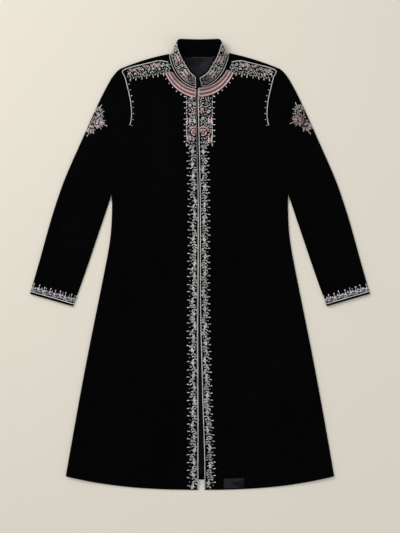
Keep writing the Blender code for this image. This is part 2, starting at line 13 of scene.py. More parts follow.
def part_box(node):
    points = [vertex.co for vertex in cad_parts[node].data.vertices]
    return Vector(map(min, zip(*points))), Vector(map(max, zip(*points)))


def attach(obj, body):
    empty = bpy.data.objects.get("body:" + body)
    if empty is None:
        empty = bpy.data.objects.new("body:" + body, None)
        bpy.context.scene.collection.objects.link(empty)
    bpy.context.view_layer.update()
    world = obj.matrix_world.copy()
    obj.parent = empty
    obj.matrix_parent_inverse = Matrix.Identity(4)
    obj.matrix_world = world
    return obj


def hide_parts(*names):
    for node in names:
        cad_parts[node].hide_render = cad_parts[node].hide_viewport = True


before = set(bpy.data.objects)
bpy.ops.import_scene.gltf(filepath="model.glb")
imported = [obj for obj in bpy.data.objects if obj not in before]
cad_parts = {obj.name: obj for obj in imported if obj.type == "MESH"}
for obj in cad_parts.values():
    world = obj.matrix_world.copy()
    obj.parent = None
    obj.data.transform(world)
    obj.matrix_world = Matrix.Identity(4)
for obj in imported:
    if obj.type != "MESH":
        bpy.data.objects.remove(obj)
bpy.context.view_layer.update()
mm = 0.001
wholeTurn = 2.0 * math.pi
quarterTurn = math.pi / 2
sides = {"left": 1.0, "right": -1.0}


# Helpers for numbers and curves.

def mix(a, b, t):
    return a + (b - a) * t


def stepsBetween(a, b, count):
    return [mix(a, b, k / count) for k in range(count + 1)]


def smooth(t):
    t = min(max(t, 0.0), 1.0)
    return t * t * (3.0 - 2.0 * t)


def lookUp(places, values, place):
    # straight interpolation between values whose places rise
    for k in range(len(places) - 1):
        if place <= places[k + 1]:
            return mix(values[k], values[k + 1], max(0.0, (place - places[k]) / (places[k + 1] - places[k])))
    return values[-1]


def splinePoints(points, steps):
    # a Catmull-Rom curve through the points
    knots = [Vector(point) for point in points]
    knots = [knots[0] * 2 - knots[1]] + knots + [knots[-1] * 2 - knots[-2]]
    curve = []
    for k in range(1, len(knots) - 2):
        before, here, there, after = knots[k - 1:k + 3]
        for step in range(steps):
            t = step / steps
            curve.append(0.5 * (2 * here + (there - before) * t
                                + (2 * before - 5 * here + 4 * there - after) * t ** 2
                                + (3 * here - before - 3 * there + after) * t ** 3))
    curve.append(knots[-2])
    return curve


def lengthMarks(points):
    # how far along the path each point is
    marks = [0.0]
    for a, b in zip(points, points[1:]):
        marks.append(marks[-1] + (b - a).length)
    return marks


def stretchAt(marks, wanted, k=0):
    while k < len(marks) - 2 and wanted > marks[k + 1]:
        k += 1
    return k


def evenly(points, step):
    # the same path with its points one step apart
    marks = lengthMarks(points)
    count = max(2, round(marks[-1] / step))
    path, k = [], 0
    for n in range(count + 1):
        wanted = marks[-1] * n / count
        k = stretchAt(marks, wanted, k)
        path.append(points[k].lerp(points[k + 1], (wanted - marks[k]) / (marks[k + 1] - marks[k])))
    return path


def away(point, angle, distance):
    return Vector((point[0] + distance * math.cos(angle), point[1] + distance * math.sin(angle)))


# Camera, floor and light.

view = {"middle": (0.0, -0.005), "level": 8.6 * mm, "height": 3.5, "frameHeight": 1.4391, "sensor": 36.0}
studio = {
    "floor": (0.80, 0.752, 0.655), "floorRoughness": 0.85, "floorReach": 6.0, "floorLevel": -0.2 * mm,
    "world": (0.95, 0.97, 1.0, 1.0), "worldStrength": 0.42,
    # place, size, power and colour of each lamp
    "lamps": {
        "key": ((-1.9, 1.7, 2.6), 1.6, 62.0, (1.0, 0.975, 0.94)),
        "fill": ((2.2, -1.6, 2.4), 2.4, 14.0, (0.95, 0.97, 1.0)),
        "overhead": ((0.2, 0.3, 4.6), 2.6, 34.0, (1.0, 0.99, 0.97)),
    },
}


def newObject(name, data):
    thing = bpy.data.objects.new(name, data)
    bpy.context.scene.collection.objects.link(thing)
    return thing


def placeCamera():
    lens = bpy.data.cameras.new("overhead_camera")
    lens.sensor_width = view["sensor"]
    lens.lens = view["sensor"] * view["height"] / view["frameHeight"]
    camera = newObject("overhead_camera", lens)
    camera.location = (*view["middle"], view["height"] + view["level"])
    bpy.context.scene.camera = camera


def lightStudio():
    for name, (place, size, power, colour) in studio["lamps"].items():
        light = bpy.data.lights.new(name, "AREA")
        light.size = size
        light.energy = power
        light.color = colour
        holder = newObject(name, light)
        holder.location = place
        holder.rotation_euler = (-Vector(place)).to_track_quat("-Z", "Y").to_euler()
    world = bpy.data.worlds.new("studio")
    world.use_nodes = True
    sky = world.node_tree.nodes["Background"].inputs
    sky["Color"].default_value = studio["world"]
    sky["Strength"].default_value = studio["worldStrength"]
    bpy.context.scene.world = world
    bpy.context.scene.view_settings.view_transform = "Standard"


# Finishes.

def newFinish(name, colour, roughness, sockets):
    finish = bpy.data.materials.new(name)
    finish.use_nodes = True
    shader = finish.node_tree.nodes["Principled BSDF"].inputs
    shader["Base Color"].default_value = (*colour, 1.0)
    shader["Roughness"].default_value = roughness
    for socket, value in sockets.items():
        shader[socket].default_value = value
    return finish, finish.node_tree, shader


def addNode(tree, kind, inputs=None, out=0, **settings):
    # adds a node and returns one output; each input is a fixed value or a socket to wire in
    node = tree.nodes.new(kind)
    for key, value in settings.items():
        setattr(node, key, value)
    for key, value in (inputs or {}).items():
        if isinstance(value, bpy.types.NodeSocket):
            tree.links.new(value, node.inputs[key])
        else:
            node.inputs[key].default_value = value
    return node.outputs[out]


def calc(tree, operation, *inputs, **settings):
    return addNode(tree, "ShaderNodeMath", dict(enumerate(inputs)), operation=operation, **settings)


def noisePattern(tree, scale, detail, stretch=(1.0, 1.0, 1.0), turn=0.0):
    where = addNode(tree, "ShaderNodeTexCoord", out="Object")
    placed = addNode(tree, "ShaderNodeMapping",
                     {"Scale": stretch, "Rotation": (0.0, 0.0, turn), "Vector": where})
    return addNode(tree, "ShaderNodeTexNoise", {"Scale": scale, "Detail": detail, "Vector": placed}, "Fac")


def ranged(tree, value, low, high):
    # spreads a noise's middle range from low to high
    return addNode(tree, "ShaderNodeMapRange", {
        "Value": value, "From Min": 0.3, "From Max": 0.7, "To Min": low, "To Max": high})


def faded(tree, value, start, end, most=1.0):
    # nothing up to start, and most from end on
    return addNode(tree, "ShaderNodeMapRange", {
        "Value": value, "From Min": start, "From Max": end, "To Max": most}, interpolation_type="SMOOTHSTEP")


def blended(tree, value, first, second):
    colours = [c if isinstance(c, bpy.types.NodeSocket) else (*c, 1.0) for c in (first, second)]
    return addNode(tree, "ShaderNodeMix", {0: value, 6: colours[0], 7: colours[1]}, 2, data_type="RGBA")


def raised(tree, height, distance, strength, under=None):
    inputs = {"Height": height, "Distance": distance, "Strength": strength}
    if under:
        inputs["Normal"] = under
    return addNode(tree, "ShaderNodeBump", inputs)


def wire(tree, shader, **sockets):
    # wires colour, roughness and normal into the shader
    names = {"colour": "Base Color", "roughness": "Roughness", "normal": "Normal"}
    for key, socket in sockets.items():
        tree.links.new(socket, shader[names[key]])


# In the looks below, a pattern is scale, detail, stretch and turn; a bump is depth and strength.
velvetLook = {
    "deep": (0.0004, 0.0004, 0.0005), "lifted": (0.0011, 0.0010, 0.0012),
    "roughness": 0.95, "roughRange": (0.86, 1.0),
    "sockets": {"Specular IOR Level": 0.04, "Sheen Weight": 0.06, "Sheen Roughness": 0.32,
                "Sheen Tint": (0.50, 0.50, 0.56, 1.0)},
    "brushed": (7.0, 4.0, (1.0, 0.35, 1.0), 0.3), "nap": (60.0, 3.0, (1.6, 0.5, 1.0), 0.1),
    "pile": (1500.0, 2.0), "napBump": (1.2 * mm, 0.25), "pileBump": (0.5 * mm, 0.5),
}


def makeVelvet():
    look = velvetLook
    finish, tree, shader = newFinish("black velvet", look["deep"], look["roughness"], look["sockets"])
    brushed = ranged(tree, noisePattern(tree, *look["brushed"]), 0.0, 1.0)
    pile = noisePattern(tree, *look["pile"])
    nap = noisePattern(tree, *look["nap"])
    soft = raised(tree, nap, *look["napBump"])
    wire(tree, shader, colour=blended(tree, brushed, look["deep"], look["lifted"]),
         roughness=ranged(tree, nap, *look["roughRange"]), normal=raised(tree, pile, *look["pileBump"], soft))
    return finish


satinLook = {
    # black is the painted shade that the satin turns to below the neck
    "dark": (0.0065, 0.0062, 0.0085), "light": (0.0200, 0.0185, 0.0260), "black": (0.0016, 0.0016, 0.0018),
    "roughness": 0.38, "roughRange": (0.32, 0.46), "sockets": {"Specular IOR Level": 0.05},
    # the cloud raises the satin and lightens it where it rises: painted sheen on soft folds, darker in their
    # hollows
    "cloud": (26.0, 3.0), "cloudBump": (0.8 * mm, 0.2), "patches": (-0.9, 2.1),
    "ribs": {"Scale": 1900.0, "Distortion": 0.8}, "ribBump": (0.05 * mm, 0.35),
    # where the painted shade toward the sides, under the collar, starts and is deepest, out from the centre
    "dull": (0.026, 0.052),
}


def makeSatin(name, paintedShadeBelow, fullFrom, paintedSideShade):
    # charcoal satin that turns black below the neck: painted shade in the slit and between the collar's ends
    look = satinLook
    finish, tree, shader = newFinish(name, look["dark"], look["roughness"], look["sockets"])
    cloud = noisePattern(tree, *look["cloud"])
    where = addNode(tree, "ShaderNodeTexCoord", out="Object")
    place = addNode(tree, "ShaderNodeSeparateXYZ", {"Vector": where}).node.outputs
    # painted shade: black below the neck, charcoal above it
    unshadedShare = faded(tree, place["Y"], paintedShadeBelow, fullFrom)
    # painted shade: darker toward the sides, where the collar shadows the satin
    sideShadeShare = faded(tree, calc(tree, "ABSOLUTE", place["X"]), *look["dull"], paintedSideShade)
    # painted sheen where the cloud rises, less the painted side shade
    sheenAndSideShade = calc(tree, "SUBTRACT", ranged(tree, cloud, *look["patches"]), sideShadeShare, use_clamp=True)
    tone = blended(tree, sheenAndSideShade, look["dark"], look["light"])
    ribs = addNode(tree, "ShaderNodeTexWave", {**look["ribs"], "Vector": where}, "Fac",
                   bands_direction="DIAGONAL")
    soft = raised(tree, cloud, *look["cloudBump"])
    wire(tree, shader, colour=blended(tree, unshadedShare, look["black"], tone),
         roughness=ranged(tree, cloud, *look["roughRange"]),
         normal=raised(tree, ribs, *look["ribBump"], soft))
    return finish


threadLook = {
    "sockets": {"Specular IOR Level": 0.5, "Sheen Weight": 0.12, "Sheen Roughness": 0.4},
    "worn": (240.0, 3.0), "wornRange": (0.45, 1.05), "patch": (34.0, 2.0), "ridgeBump": (0.25 * mm, 0.55),
    # how much the ridges (painted shade in the grooves between them) and the patches change the shade, and
    # wear the roughness, up and down
    "ridgeShade": 0.10, "patchShade": 0.22, "rougher": 0.08, "smoother": 0.06,
}


def makeThread(name, dark, light, metallic, roughness):
    # satin-stitched thread, with a ridge for each unit of "grain" and painted shade in the grooves between
    # ridges, and duller where "shade" says so
    look = threadLook
    finish, tree, shader = newFinish(name, light, roughness, {"Metallic": metallic, **look["sockets"]})
    grain = addNode(tree, "ShaderNodeAttribute", out="Fac", attribute_name="grain")
    ridge = calc(tree, "SINE", calc(tree, "MULTIPLY", grain, wholeTurn))
    worn = noisePattern(tree, *look["worn"])
    patch = ranged(tree, noisePattern(tree, *look["patch"]), 1.0, -1.0)
    # painted shade: the tone drops with the ridges' bump, darkest in the grooves
    ribbed = calc(tree, "MULTIPLY_ADD", ridge, look["ridgeShade"], ranged(tree, worn, *look["wornRange"]))
    patched = calc(tree, "MULTIPLY_ADD", patch, look["patchShade"], ribbed, use_clamp=True)
    shade = addNode(tree, "ShaderNodeAttribute", out="Fac", attribute_name="shade")
    lit = calc(tree, "MULTIPLY", patched, calc(tree, "SUBTRACT", 1.0, shade))
    wire(tree, shader, colour=blended(tree, lit, dark, light),
         roughness=ranged(tree, worn, roughness + look["rougher"], roughness - look["smoother"]),
         normal=raised(tree, ridge, *look["ridgeBump"]))
    return finish


def makeFloor():
    reach, level = studio["floorReach"], studio["floorLevel"]
    corners = [(x * reach, y * reach, level) for x, y in ((-1, -1), (1, -1), (1, 1), (-1, 1))]
    floor = bpy.data.meshes.new("floor")
    floor.from_pydata(corners, [], [(0, 1, 2, 3)])
    pale = newFinish("pale floor", studio["floor"], studio["floorRoughness"], {"Specular IOR Level": 0.2})[0]
    floor.materials.append(pale)
    newObject("floor", floor)


placeCamera()
lightStudio()
makeFloor()
velvet = makeVelvet()
liningSatin = makeSatin("charcoal satin", paintedShadeBelow=0.486, fullFrom=0.522, paintedSideShade=0.75)
labelSatin = makeSatin("label satin", paintedShadeBelow=-0.700, fullFrom=-0.650, paintedSideShade=0.0)
# name, dark and light colour, metallic and roughness of each thread
threads = {key: makeThread(*look) for key, look in {
    "silver": ("silver thread", (0.18, 0.177, 0.172), (0.88, 0.868, 0.848), 0.10, 0.42),
    "bright": ("bright silver cord", (0.36, 0.355, 0.345), (0.93, 0.92, 0.905), 0.05, 0.40),
    "cool": ("cool silver thread", (0.22, 0.20, 0.235), (0.86, 0.81, 0.87), 0.10, 0.42),
    "pale": ("pale rose thread", (0.36, 0.19, 0.19), (0.90, 0.635, 0.625), 0.0, 0.50),
    "rose": ("rose thread", (0.26, 0.085, 0.10), (0.62, 0.29, 0.31), 0.0, 0.52),
    "deep": ("deep rose thread", (0.06, 0.018, 0.022), (0.22, 0.085, 0.09), 0.0, 0.58),
    "wine": ("wine thread", (0.085, 0.036, 0.036), (0.31, 0.175, 0.17), 0.0, 0.55),
    "sand": ("sand thread", (0.22, 0.17, 0.155), (0.62, 0.50, 0.465), 0.05, 0.50),
    "dusk": ("dusty rose thread", (0.22, 0.14, 0.15), (0.66, 0.47, 0.48), 0.05, 0.50),
    "sage": ("sage thread", (0.15, 0.175, 0.155), (0.58, 0.63, 0.57), 0.05, 0.50),
    "ground": ("wine braid ground", (0.040, 0.018, 0.018), (0.13, 0.068, 0.065), 0.0, 0.6),
}.items()}
print("studio and finishes ready")


# Finishing a piece.

def finishPiece(piece, replaced=()):
    piece.data.shade_smooth()
    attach(piece, "root")
    if replaced:
        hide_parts(*replaced)
    return piece


def evaluatedMesh(thing, name):
    # what the modifiers make, as a plain mesh
    bpy.context.view_layer.update()
    depsgraph = bpy.context.evaluated_depsgraph_get()
    mesh = bpy.data.meshes.new_from_object(thing.evaluated_get(depsgraph))
    mesh.name = name
    bpy.data.objects.remove(thing)
    return mesh


def mergedCopy(node):
    shape = bmesh.new()
    shape.from_mesh(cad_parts[node].data)
    bmesh.ops.remove_doubles(shape, verts=shape.verts, dist=0.01 * mm)
    return shape


def meshFrom(shape, name):
    mesh = bpy.data.meshes.new(name)
    shape.to_mesh(mesh)
    shape.free()
    return mesh


# Cloth panels.

# Soft creases over the whole upper layer: x and y at both ends, height in millimetres, and width.
creases = {
    "left": ((0.222, 0.205, 0.176, 0.120, 0.9, 0.010), (0.208, 0.235, 0.150, 0.190, -0.7, 0.009),
             (0.190, 0.330, 0.165, 0.235, 0.6, 0.011), (0.262, 0.330, 0.238, 0.250, 0.8, 0.009),
             (0.325, 0.200, 0.288, 0.150, 0.8, 0.009), (0.345, 0.155, 0.306, 0.118, -0.7, 0.008),
             (0.372, 0.120, 0.330, 0.070, 0.6, 0.010), (0.180, 0.020, 0.205, -0.130, -0.7, 0.014),
             (0.140, -0.260, 0.165, -0.560, 0.8, 0.015), (0.085, 0.330, 0.120, 0.235, 0.5, 0.012)),
    "right": ((0.218, 0.196, 0.165, 0.135, 0.8, 0.011), (0.202, 0.255, 0.158, 0.205, -0.6, 0.009),
              (0.270, 0.305, 0.240, 0.225, 0.9, 0.010), (0.332, 0.212, 0.284, 0.172, 0.9, 0.009),
              (0.340, 0.170, 0.300, 0.105, -0.8, 0.009), (0.385, 0.055, 0.360, -0.010, 0.6, 0.010),
              (0.120, -0.010, 0.100, -0.200, 0.7, 0.015), (0.195, -0.300, 0.222, -0.570, -0.8, 0.016),
              (0.282, -0.330, 0.300, -0.575, 0.7, 0.013), (0.100, 0.345, 0.080, 0.250, 0.5, 0.011)),
    # the lining that shows inside the neck and the slit, in whole coordinates
    "lining": ((-0.040, 0.556, -0.014, 0.520, 1.5, 0.010), (0.036, 0.556, 0.016, 0.524, 1.3, 0.011),
               (-0.010, 0.552, 0.006, 0.512, -0.7, 0.008), (-0.030, 0.514, 0.024, 0.506, 0.9, 0.007),
               (0.010, 0.545, 0.026, 0.538, 0.7, 0.006), (-0.026, 0.538, -0.004, 0.534, 0.6, 0.006),
               (0.004, -0.100, -0.004, -0.420, 0.8, 0.004)),
}


def creaseHeight(where, x, y):
    total = 0.0
    for startX, startY, endX, endY, height, width in creases[where]:
        alongX, alongY = endX - startX, endY - startY
        reach = alongX * alongX + alongY * alongY
        t = min(max(((x - startX) * alongX + (y - startY) * alongY) / reach, 0.0), 1.0)
        off = math.hypot(x - startX - alongX * t, y - startY - alongY * t) / width
        if off < 3.0:
            # lower toward both ends
            total += height * mm * math.exp(-off * off) * mix(0.35, 1.0, math.sin(math.pi * mix(0.1, 0.9, t)))
    return total


panel = {
    "levels": 2, "firmness": 0.72, "firmFrom": math.radians(55), "top": 8.6 * mm,
    "flatUpTo": math.radians(14), "quadUpTo": math.radians(75), "calmFrom": 0.05, "calmOver": 0.04,
}
plate = {
    "velvetEdge": 0.8 * mm, "thinEdge": 0.3 * mm, "foldCell": 7 * mm, "rimFrom": math.radians(80),
    "flatUpTo": math.radians(0.2), "level": 0.1 * mm,
}


def creaseUpperLayer(mesh):
    # in full on top, fading down the walls and toward the centre front
    for vertex in mesh.vertices:
        x, y, z = vertex.co
        centred = smooth((abs(x) - panel["calmFrom"]) / panel["calmOver"])
        calm = min(1.0, max(0.0, z) / panel["top"]) ** 2 * centred
        if calm > 0.0:
            vertex.co.z = z + creaseHeight("left" if x > 0.0 else "right", abs(x), y) * calm


def smoothPanel(name, node, finish, creased=False):
    # the node's own form, subdivided, with its cut edges softly turned
    shape = mergedCopy(node)
    bmesh.ops.join_triangles(shape, faces=shape.faces, angle_face_threshold=panel["flatUpTo"],
                             angle_shape_threshold=panel["quadUpTo"])
    firm = shape.edges.layers.float.new("crease_edge")
    for edge in shape.edges:
        if len(edge.link_faces) == 2 and edge.calc_face_angle() > panel["firmFrom"]:
            edge[firm] = panel["firmness"]
    rough = newObject(name + "_cage", meshFrom(shape, name))
    smoother = rough.modifiers.new("smoother", "SUBSURF")
    smoother.levels = smoother.render_levels = panel["levels"]
    mesh = evaluatedMesh(rough, name)
    if creased:
        creaseUpperLayer(mesh)
    mesh.materials.clear()
    mesh.materials.append(finish)
    return newObject(name, mesh)


def softPlate(name, node, finish, rounding, foldedAs=None):
    # a flat piece with rounded edges, cut into cells where it is to be folded
    shape = mergedCopy(node)
    bmesh.ops.dissolve_limit(shape, angle_limit=plate["flatUpTo"], verts=shape.verts, edges=shape.edges)
    rim = [edge for edge in shape.edges
           if len(edge.link_faces) == 2 and edge.calc_face_angle() > plate["rimFrom"]
           and abs(edge.verts[0].co.z - edge.verts[1].co.z) < plate["level"]]
    bmesh.ops.bevel(shape, geom=rim, offset=rounding, segments=2, profile=0.5, affect="EDGES")
    if foldedAs:
        low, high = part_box(node)
        for axis, across in enumerate((Vector((1.0, 0.0, 0.0)), Vector((0.0, 1.0, 0.0)))):
            count = int((high[axis] - low[axis]) / plate["foldCell"])
            for place in stepsBetween(low[axis], high[axis], count)[1:-1]:
                bmesh.ops.bisect_plane(shape, geom=shape.verts[:] + shape.edges[:] + shape.faces[:],
                                       plane_co=across * place, plane_no=across, dist=0.01 * mm)
        for vertex in shape.verts:
            vertex.co.z += creaseHeight(foldedAs, vertex.co.x, vertex.co.y)
    bmesh.ops.triangulate(shape, faces=[face for face in shape.faces if len(face.verts) > 4])
    mesh = meshFrom(shape, name)
    mesh.materials.append(finish)
    return newObject(name, mesh)


panels = {}


def layPanel(piece, node):
    panels[node] = finishPiece(piece, [node])


def layPlate(name, node, finish, edge, foldedAs=None):
    layPanel(softPlate(name, node, finish, plate[edge], foldedAs), node)


for word in sides:
    for node in ("front_" + word, "sleeve_top_" + word):
        layPanel(smoothPanel("velvet_" + node, node, velvet, creased=True), node)
    layPlate("velvet_sleeve_under_" + word, "sleeve_under_" + word, velvet, "velvetEdge")
layPlate("velvet_back", "back", velvet, "velvetEdge")
layPlate("satin_lining", "back_lining", liningSatin, "thinEdge", "lining")
for node in ("collar_band", "collar_facing"):
    layPanel(smoothPanel("velvet_" + node, node, velvet), node)
layPanel(smoothPanel("satin_hem_label", "hem_label", labelSatin), "hem_label")
print("panels laid:", len(panels))


# Where things lie on the cloth.

closing = {
    "y": (-0.6093, -0.5300, -0.4465, -0.3600, -0.2845, -0.1900, -0.0950,
          0.0500, 0.1700, 0.2640, 0.3390, 0.4000, 0.4500, 0.4795),
    "middle": (0.0036, 0.0037, 0.0026, 0.0009, 0.0000, -0.0017, -0.0020,
               -0.0015, -0.0016, -0.0035, -0.0053, -0.0070, -0.0080, -0.0070),
    "gap": (0.0165, 0.0165, 0.0133, 0.0110, 0.0093, 0.0069, 0.0046,
            0.0034, 0.0032, 0.0035, 0.0037, 0.0037, 0.0037, 0.0032),
}


def frontEdge(side, y):
    return side * lookUp(closing["y"], closing["middle"], y) + lookUp(closing["y"], closing["gap"], y) / 2


def treeOf(*nodes):
    vertices, polygons = [], []
    for node in nodes:
        mesh = panels[node].data
        first = len(vertices)
        vertices += [vertex.co.copy() for vertex in mesh.vertices]
        polygons += [[first + v for v in polygon.vertices] for polygon in mesh.polygons]
    return BVHTree.FromPolygons(vertices, polygons)


down = Vector((0.0, 0.0, -1.0))
topTree = treeOf("front_left", "front_right", "sleeve_top_left", "sleeve_top_right")


def layFlat(side, tree=topTree, least=1.5 * mm, otherwise=panel["top"]):
    # plan to cloth on the flat of the fronts and the sleeves
    def lay(x, y, lift):
        hit = tree.ray_cast(Vector((side * x, y, 0.1)), down)[0]
        level = hit.z if hit and hit.z > least else otherwise
        return Vector((side * x, y, level + lift))
    return lay


# Geometry nodes.

def newTree(name, inputs):
    tree = bpy.data.node_groups.new(name, "GeometryNodeTree")
    tree.interface.new_socket("Geometry", in_out="INPUT", socket_type="NodeSocketGeometry")
    for label, kind in inputs.items():
        tree.interface.new_socket(label, in_out="INPUT", socket_type="NodeSocket" + kind)
    tree.interface.new_socket("Geometry", in_out="OUTPUT", socket_type="NodeSocketGeometry")
    return tree, tree.nodes.new("NodeGroupInput").outputs


def endTree(tree, geometry, thread):
    whole = addNode(tree, "GeometryNodeRealizeInstances", {"Geometry": geometry})
    dyed = addNode(tree, "GeometryNodeSetMaterial", {"Geometry": whole, "Material": thread})
    tree.links.new(dyed, tree.nodes.new("NodeGroupOutput").inputs["Geometry"])
    return tree


def named(tree, name, kind="FLOAT"):
    return addNode(tree, "GeometryNodeInputNamedAttribute", {"Name": name}, "Attribute", data_type=kind)


def vectorCalc(tree, operation, inputs):
    return addNode(tree, "ShaderNodeVectorMath", inputs, operation=operation)


def linesOf(tree, given, step=None):
    # the mesh's lines as curves, with their points a step apart where one is given
    line = addNode(tree, "GeometryNodeMeshToCurve", {"Mesh": given["Geometry"]})
    if step is not None:
        line = addNode(tree, "GeometryNodeResampleCurve", {"Curve": line, "Length": step}, mode="LENGTH")
    return line


def ridged(tree, line, along, ridge):
    # stores how many ridges of thread lie between a line's start and each point
    return addNode(tree, "GeometryNodeStoreNamedAttribute", {
        "Geometry": line, "Name": "grain", "Value": calc(tree, "DIVIDE", along, ridge)},
        data_type="FLOAT", domain="POINT")


def placeMotif(tree, given, points, turn, size):
    # the motif on every point, turned flat on the plan and sized
    shape = addNode(tree, "GeometryNodeObjectInfo", {"Object": given["Motif"]}, "Geometry")
    turned = addNode(tree, "ShaderNodeCombineXYZ", {"Z": turn})
    return addNode(tree, "GeometryNodeInstanceOnPoints", {
        "Points": points, "Instance": shape, "Rotation": turned, "Scale": size})


def circleOf(tree, given, radius):
    return addNode(tree, "GeometryNodeCurvePrimitiveCircle", {"Resolution": given["Sides"], "Radius": radius})


def tubeOf(tree, line, profile, thick):
    return addNode(tree, "GeometryNodeCurveToMesh", {
        "Curve": line, "Profile Curve": profile, "Scale": thick, "Fill Caps": True})


def motifTree():
    # a stitched shape on each point, turned and sized by the point's own values
    tree, given = newTree("sewn motifs", {"Motif": "Object", "Thread": "Material"})
    turn, size = named(tree, "turn"), named(tree, "size", "FLOAT_VECTOR")
    return endTree(tree, placeMotif(tree, given, given["Geometry"], turn, size), given["Thread"])


def rowTree():
    # a stitched shape at even steps along a path, turned from the path's own heading
    tree, given = newTree("sewn row", {
        "Motif": "Object", "Thread": "Material", "Spacing": "Float", "Turn": "Float", "Size": "Vector",
        "Unevenness": "Float", "Seed": "Int"})
    spaced = linesOf(tree, given, given["Spacing"])
    tangent = addNode(tree, "GeometryNodeInputTangent")
    part = addNode(tree, "ShaderNodeSeparateXYZ", {0: tangent}).node.outputs
    turn = calc(tree, "ADD", calc(tree, "ARCTAN2", part["Y"], part["X"]), given["Turn"])
    least = calc(tree, "SUBTRACT", 1.0, given["Unevenness"])
    most = calc(tree, "ADD", 1.0, given["Unevenness"])
    # the number's own least and most are the third and fourth sockets
    share = addNode(tree, "FunctionNodeRandomValue", {2: least, 3: most, "Seed": given["Seed"]}, 1,
                    data_type="FLOAT")
    sized = vectorCalc(tree, "SCALE", {0: given["Size"], "Scale": share})
    return endTree(tree, placeMotif(tree, given, spaced, turn, sized), given["Thread"])


def threadTree():
    # a couched thread on each line, as thick as its points say
    tree, given = newTree("couched thread", {"Thread": "Material", "Sides": "Int", "Ridge": "Float"})
    along = addNode(tree, "GeometryNodeSplineParameter", out="Length")
    marked = ridged(tree, linesOf(tree, given), along, given["Ridge"])
    tube = tubeOf(tree, marked, circleOf(tree, given, 1.0), named(tree, "thick"))
    return endTree(tree, tube, given["Thread"])


def cordTree(plies=2, plyShare=0.52):
    # plies that wind round one path, each a share of the cord's radius
    tree, given = newTree("twisted cord", {
        "Thread": "Material", "Radius": "Float", "Pitch": "Float", "Step": "Float", "Sides": "Int",
        "Ridge": "Float"})
    along = addNode(tree, "GeometryNodeSplineParameter", out="Length")
    marked = ridged(tree, linesOf(tree, given, given["Step"]), along, given["Ridge"])
    turns = calc(tree, "DIVIDE", along, given["Pitch"])
    upward = addNode(tree, "GeometryNodeInputNormal", out="Normal")
    tangent = addNode(tree, "GeometryNodeInputTangent")
    sideways = vectorCalc(tree, "CROSS_PRODUCT", {0: tangent, 1: upward})
    thick = named(tree, "thick")
    reach = calc(tree, "MULTIPLY", given["Radius"], plyShare)
    swing = calc(tree, "MULTIPLY", reach, thick)
    around = circleOf(tree, given, reach)
    joined = addNode(tree, "GeometryNodeJoinGeometry")
    for ply in range(plies):
        angle = calc(tree, "MULTIPLY_ADD", turns, wholeTurn, wholeTurn * ply / plies)
        swings = []
        for axis, wave in ((upward, "COSINE"), (sideways, "SINE")):
            amount = calc(tree, "MULTIPLY", calc(tree, wave, angle), swing)
            swings.append(vectorCalc(tree, "SCALE", {0: axis, "Scale": amount}))
        offset = vectorCalc(tree, "ADD", {0: swings[0], 1: swings[1]})
        wound = addNode(tree, "GeometryNodeSetPosition", {"Geometry": marked, "Offset": offset})
        tree.links.new(tubeOf(tree, wound, around, thick), joined.node.inputs[0])
    return endTree(tree, joined, given["Thread"])


trees = {"motifs": motifTree(), "row": rowTree(), "thread": threadTree(), "cord": cordTree()}


def runTree(name, mesh, tree, inputs):
    # the mesh that a tree makes from this one
    carrier = newObject(name, mesh)
    modifier = carrier.modifiers.new("nodes", "NODES")
    modifier.node_group = tree
    for item in tree.interface.items_tree:
        if item.in_out == "INPUT" and item.name in inputs:
            modifier[item.identifier] = inputs[item.name]
    return evaluatedMesh(carrier, name)


def mark(mesh, name, values, kind="FLOAT"):
    # stores a value for each point
    field = "vector" if kind == "FLOAT_VECTOR" else "value"
    mesh.attributes.new(name, kind, "POINT").data.foreach_set(field, values)


def listed(value, count):
    return list(value) if isinstance(value, (list, tuple)) else [value] * count


def tapered(count, radius):
    # thinner toward both ends of a thread
    return [radius * min(1.0, 0.45 + 1.8 * min(k, count - 1 - k) / count) for k in range(count)]


def linesMesh(name, lines):
    # open lines as a mesh of edges, with a thickness and a shade for each point
    mesh = bpy.data.meshes.new(name)
    vertices, edges, radii, shades = [], [], [], []
    for points, thick, shade in lines:
        first = len(vertices)
        vertices += [(p[0], p[1], p[2] if len(p) > 2 else 0.0) for p in points]
        edges += [(first + k, first + k + 1) for k in range(len(points) - 1)]
        radii += listed(thick, len(points))
        shades += listed(shade, len(points))
    mesh.from_pydata(vertices, edges, [])
    mark(mesh, "thick", radii)
    mark(mesh, "shade", shades)
    return mesh


# Motifs, each one unit long from its root at the origin.

stitching = {"sunk": 0.12, "base": 0.3, "steepness": 2.2, "slant": 0.6, "merge": 1e-4,
             "threadSides": 5, "threadRidge": 0.9 * mm}


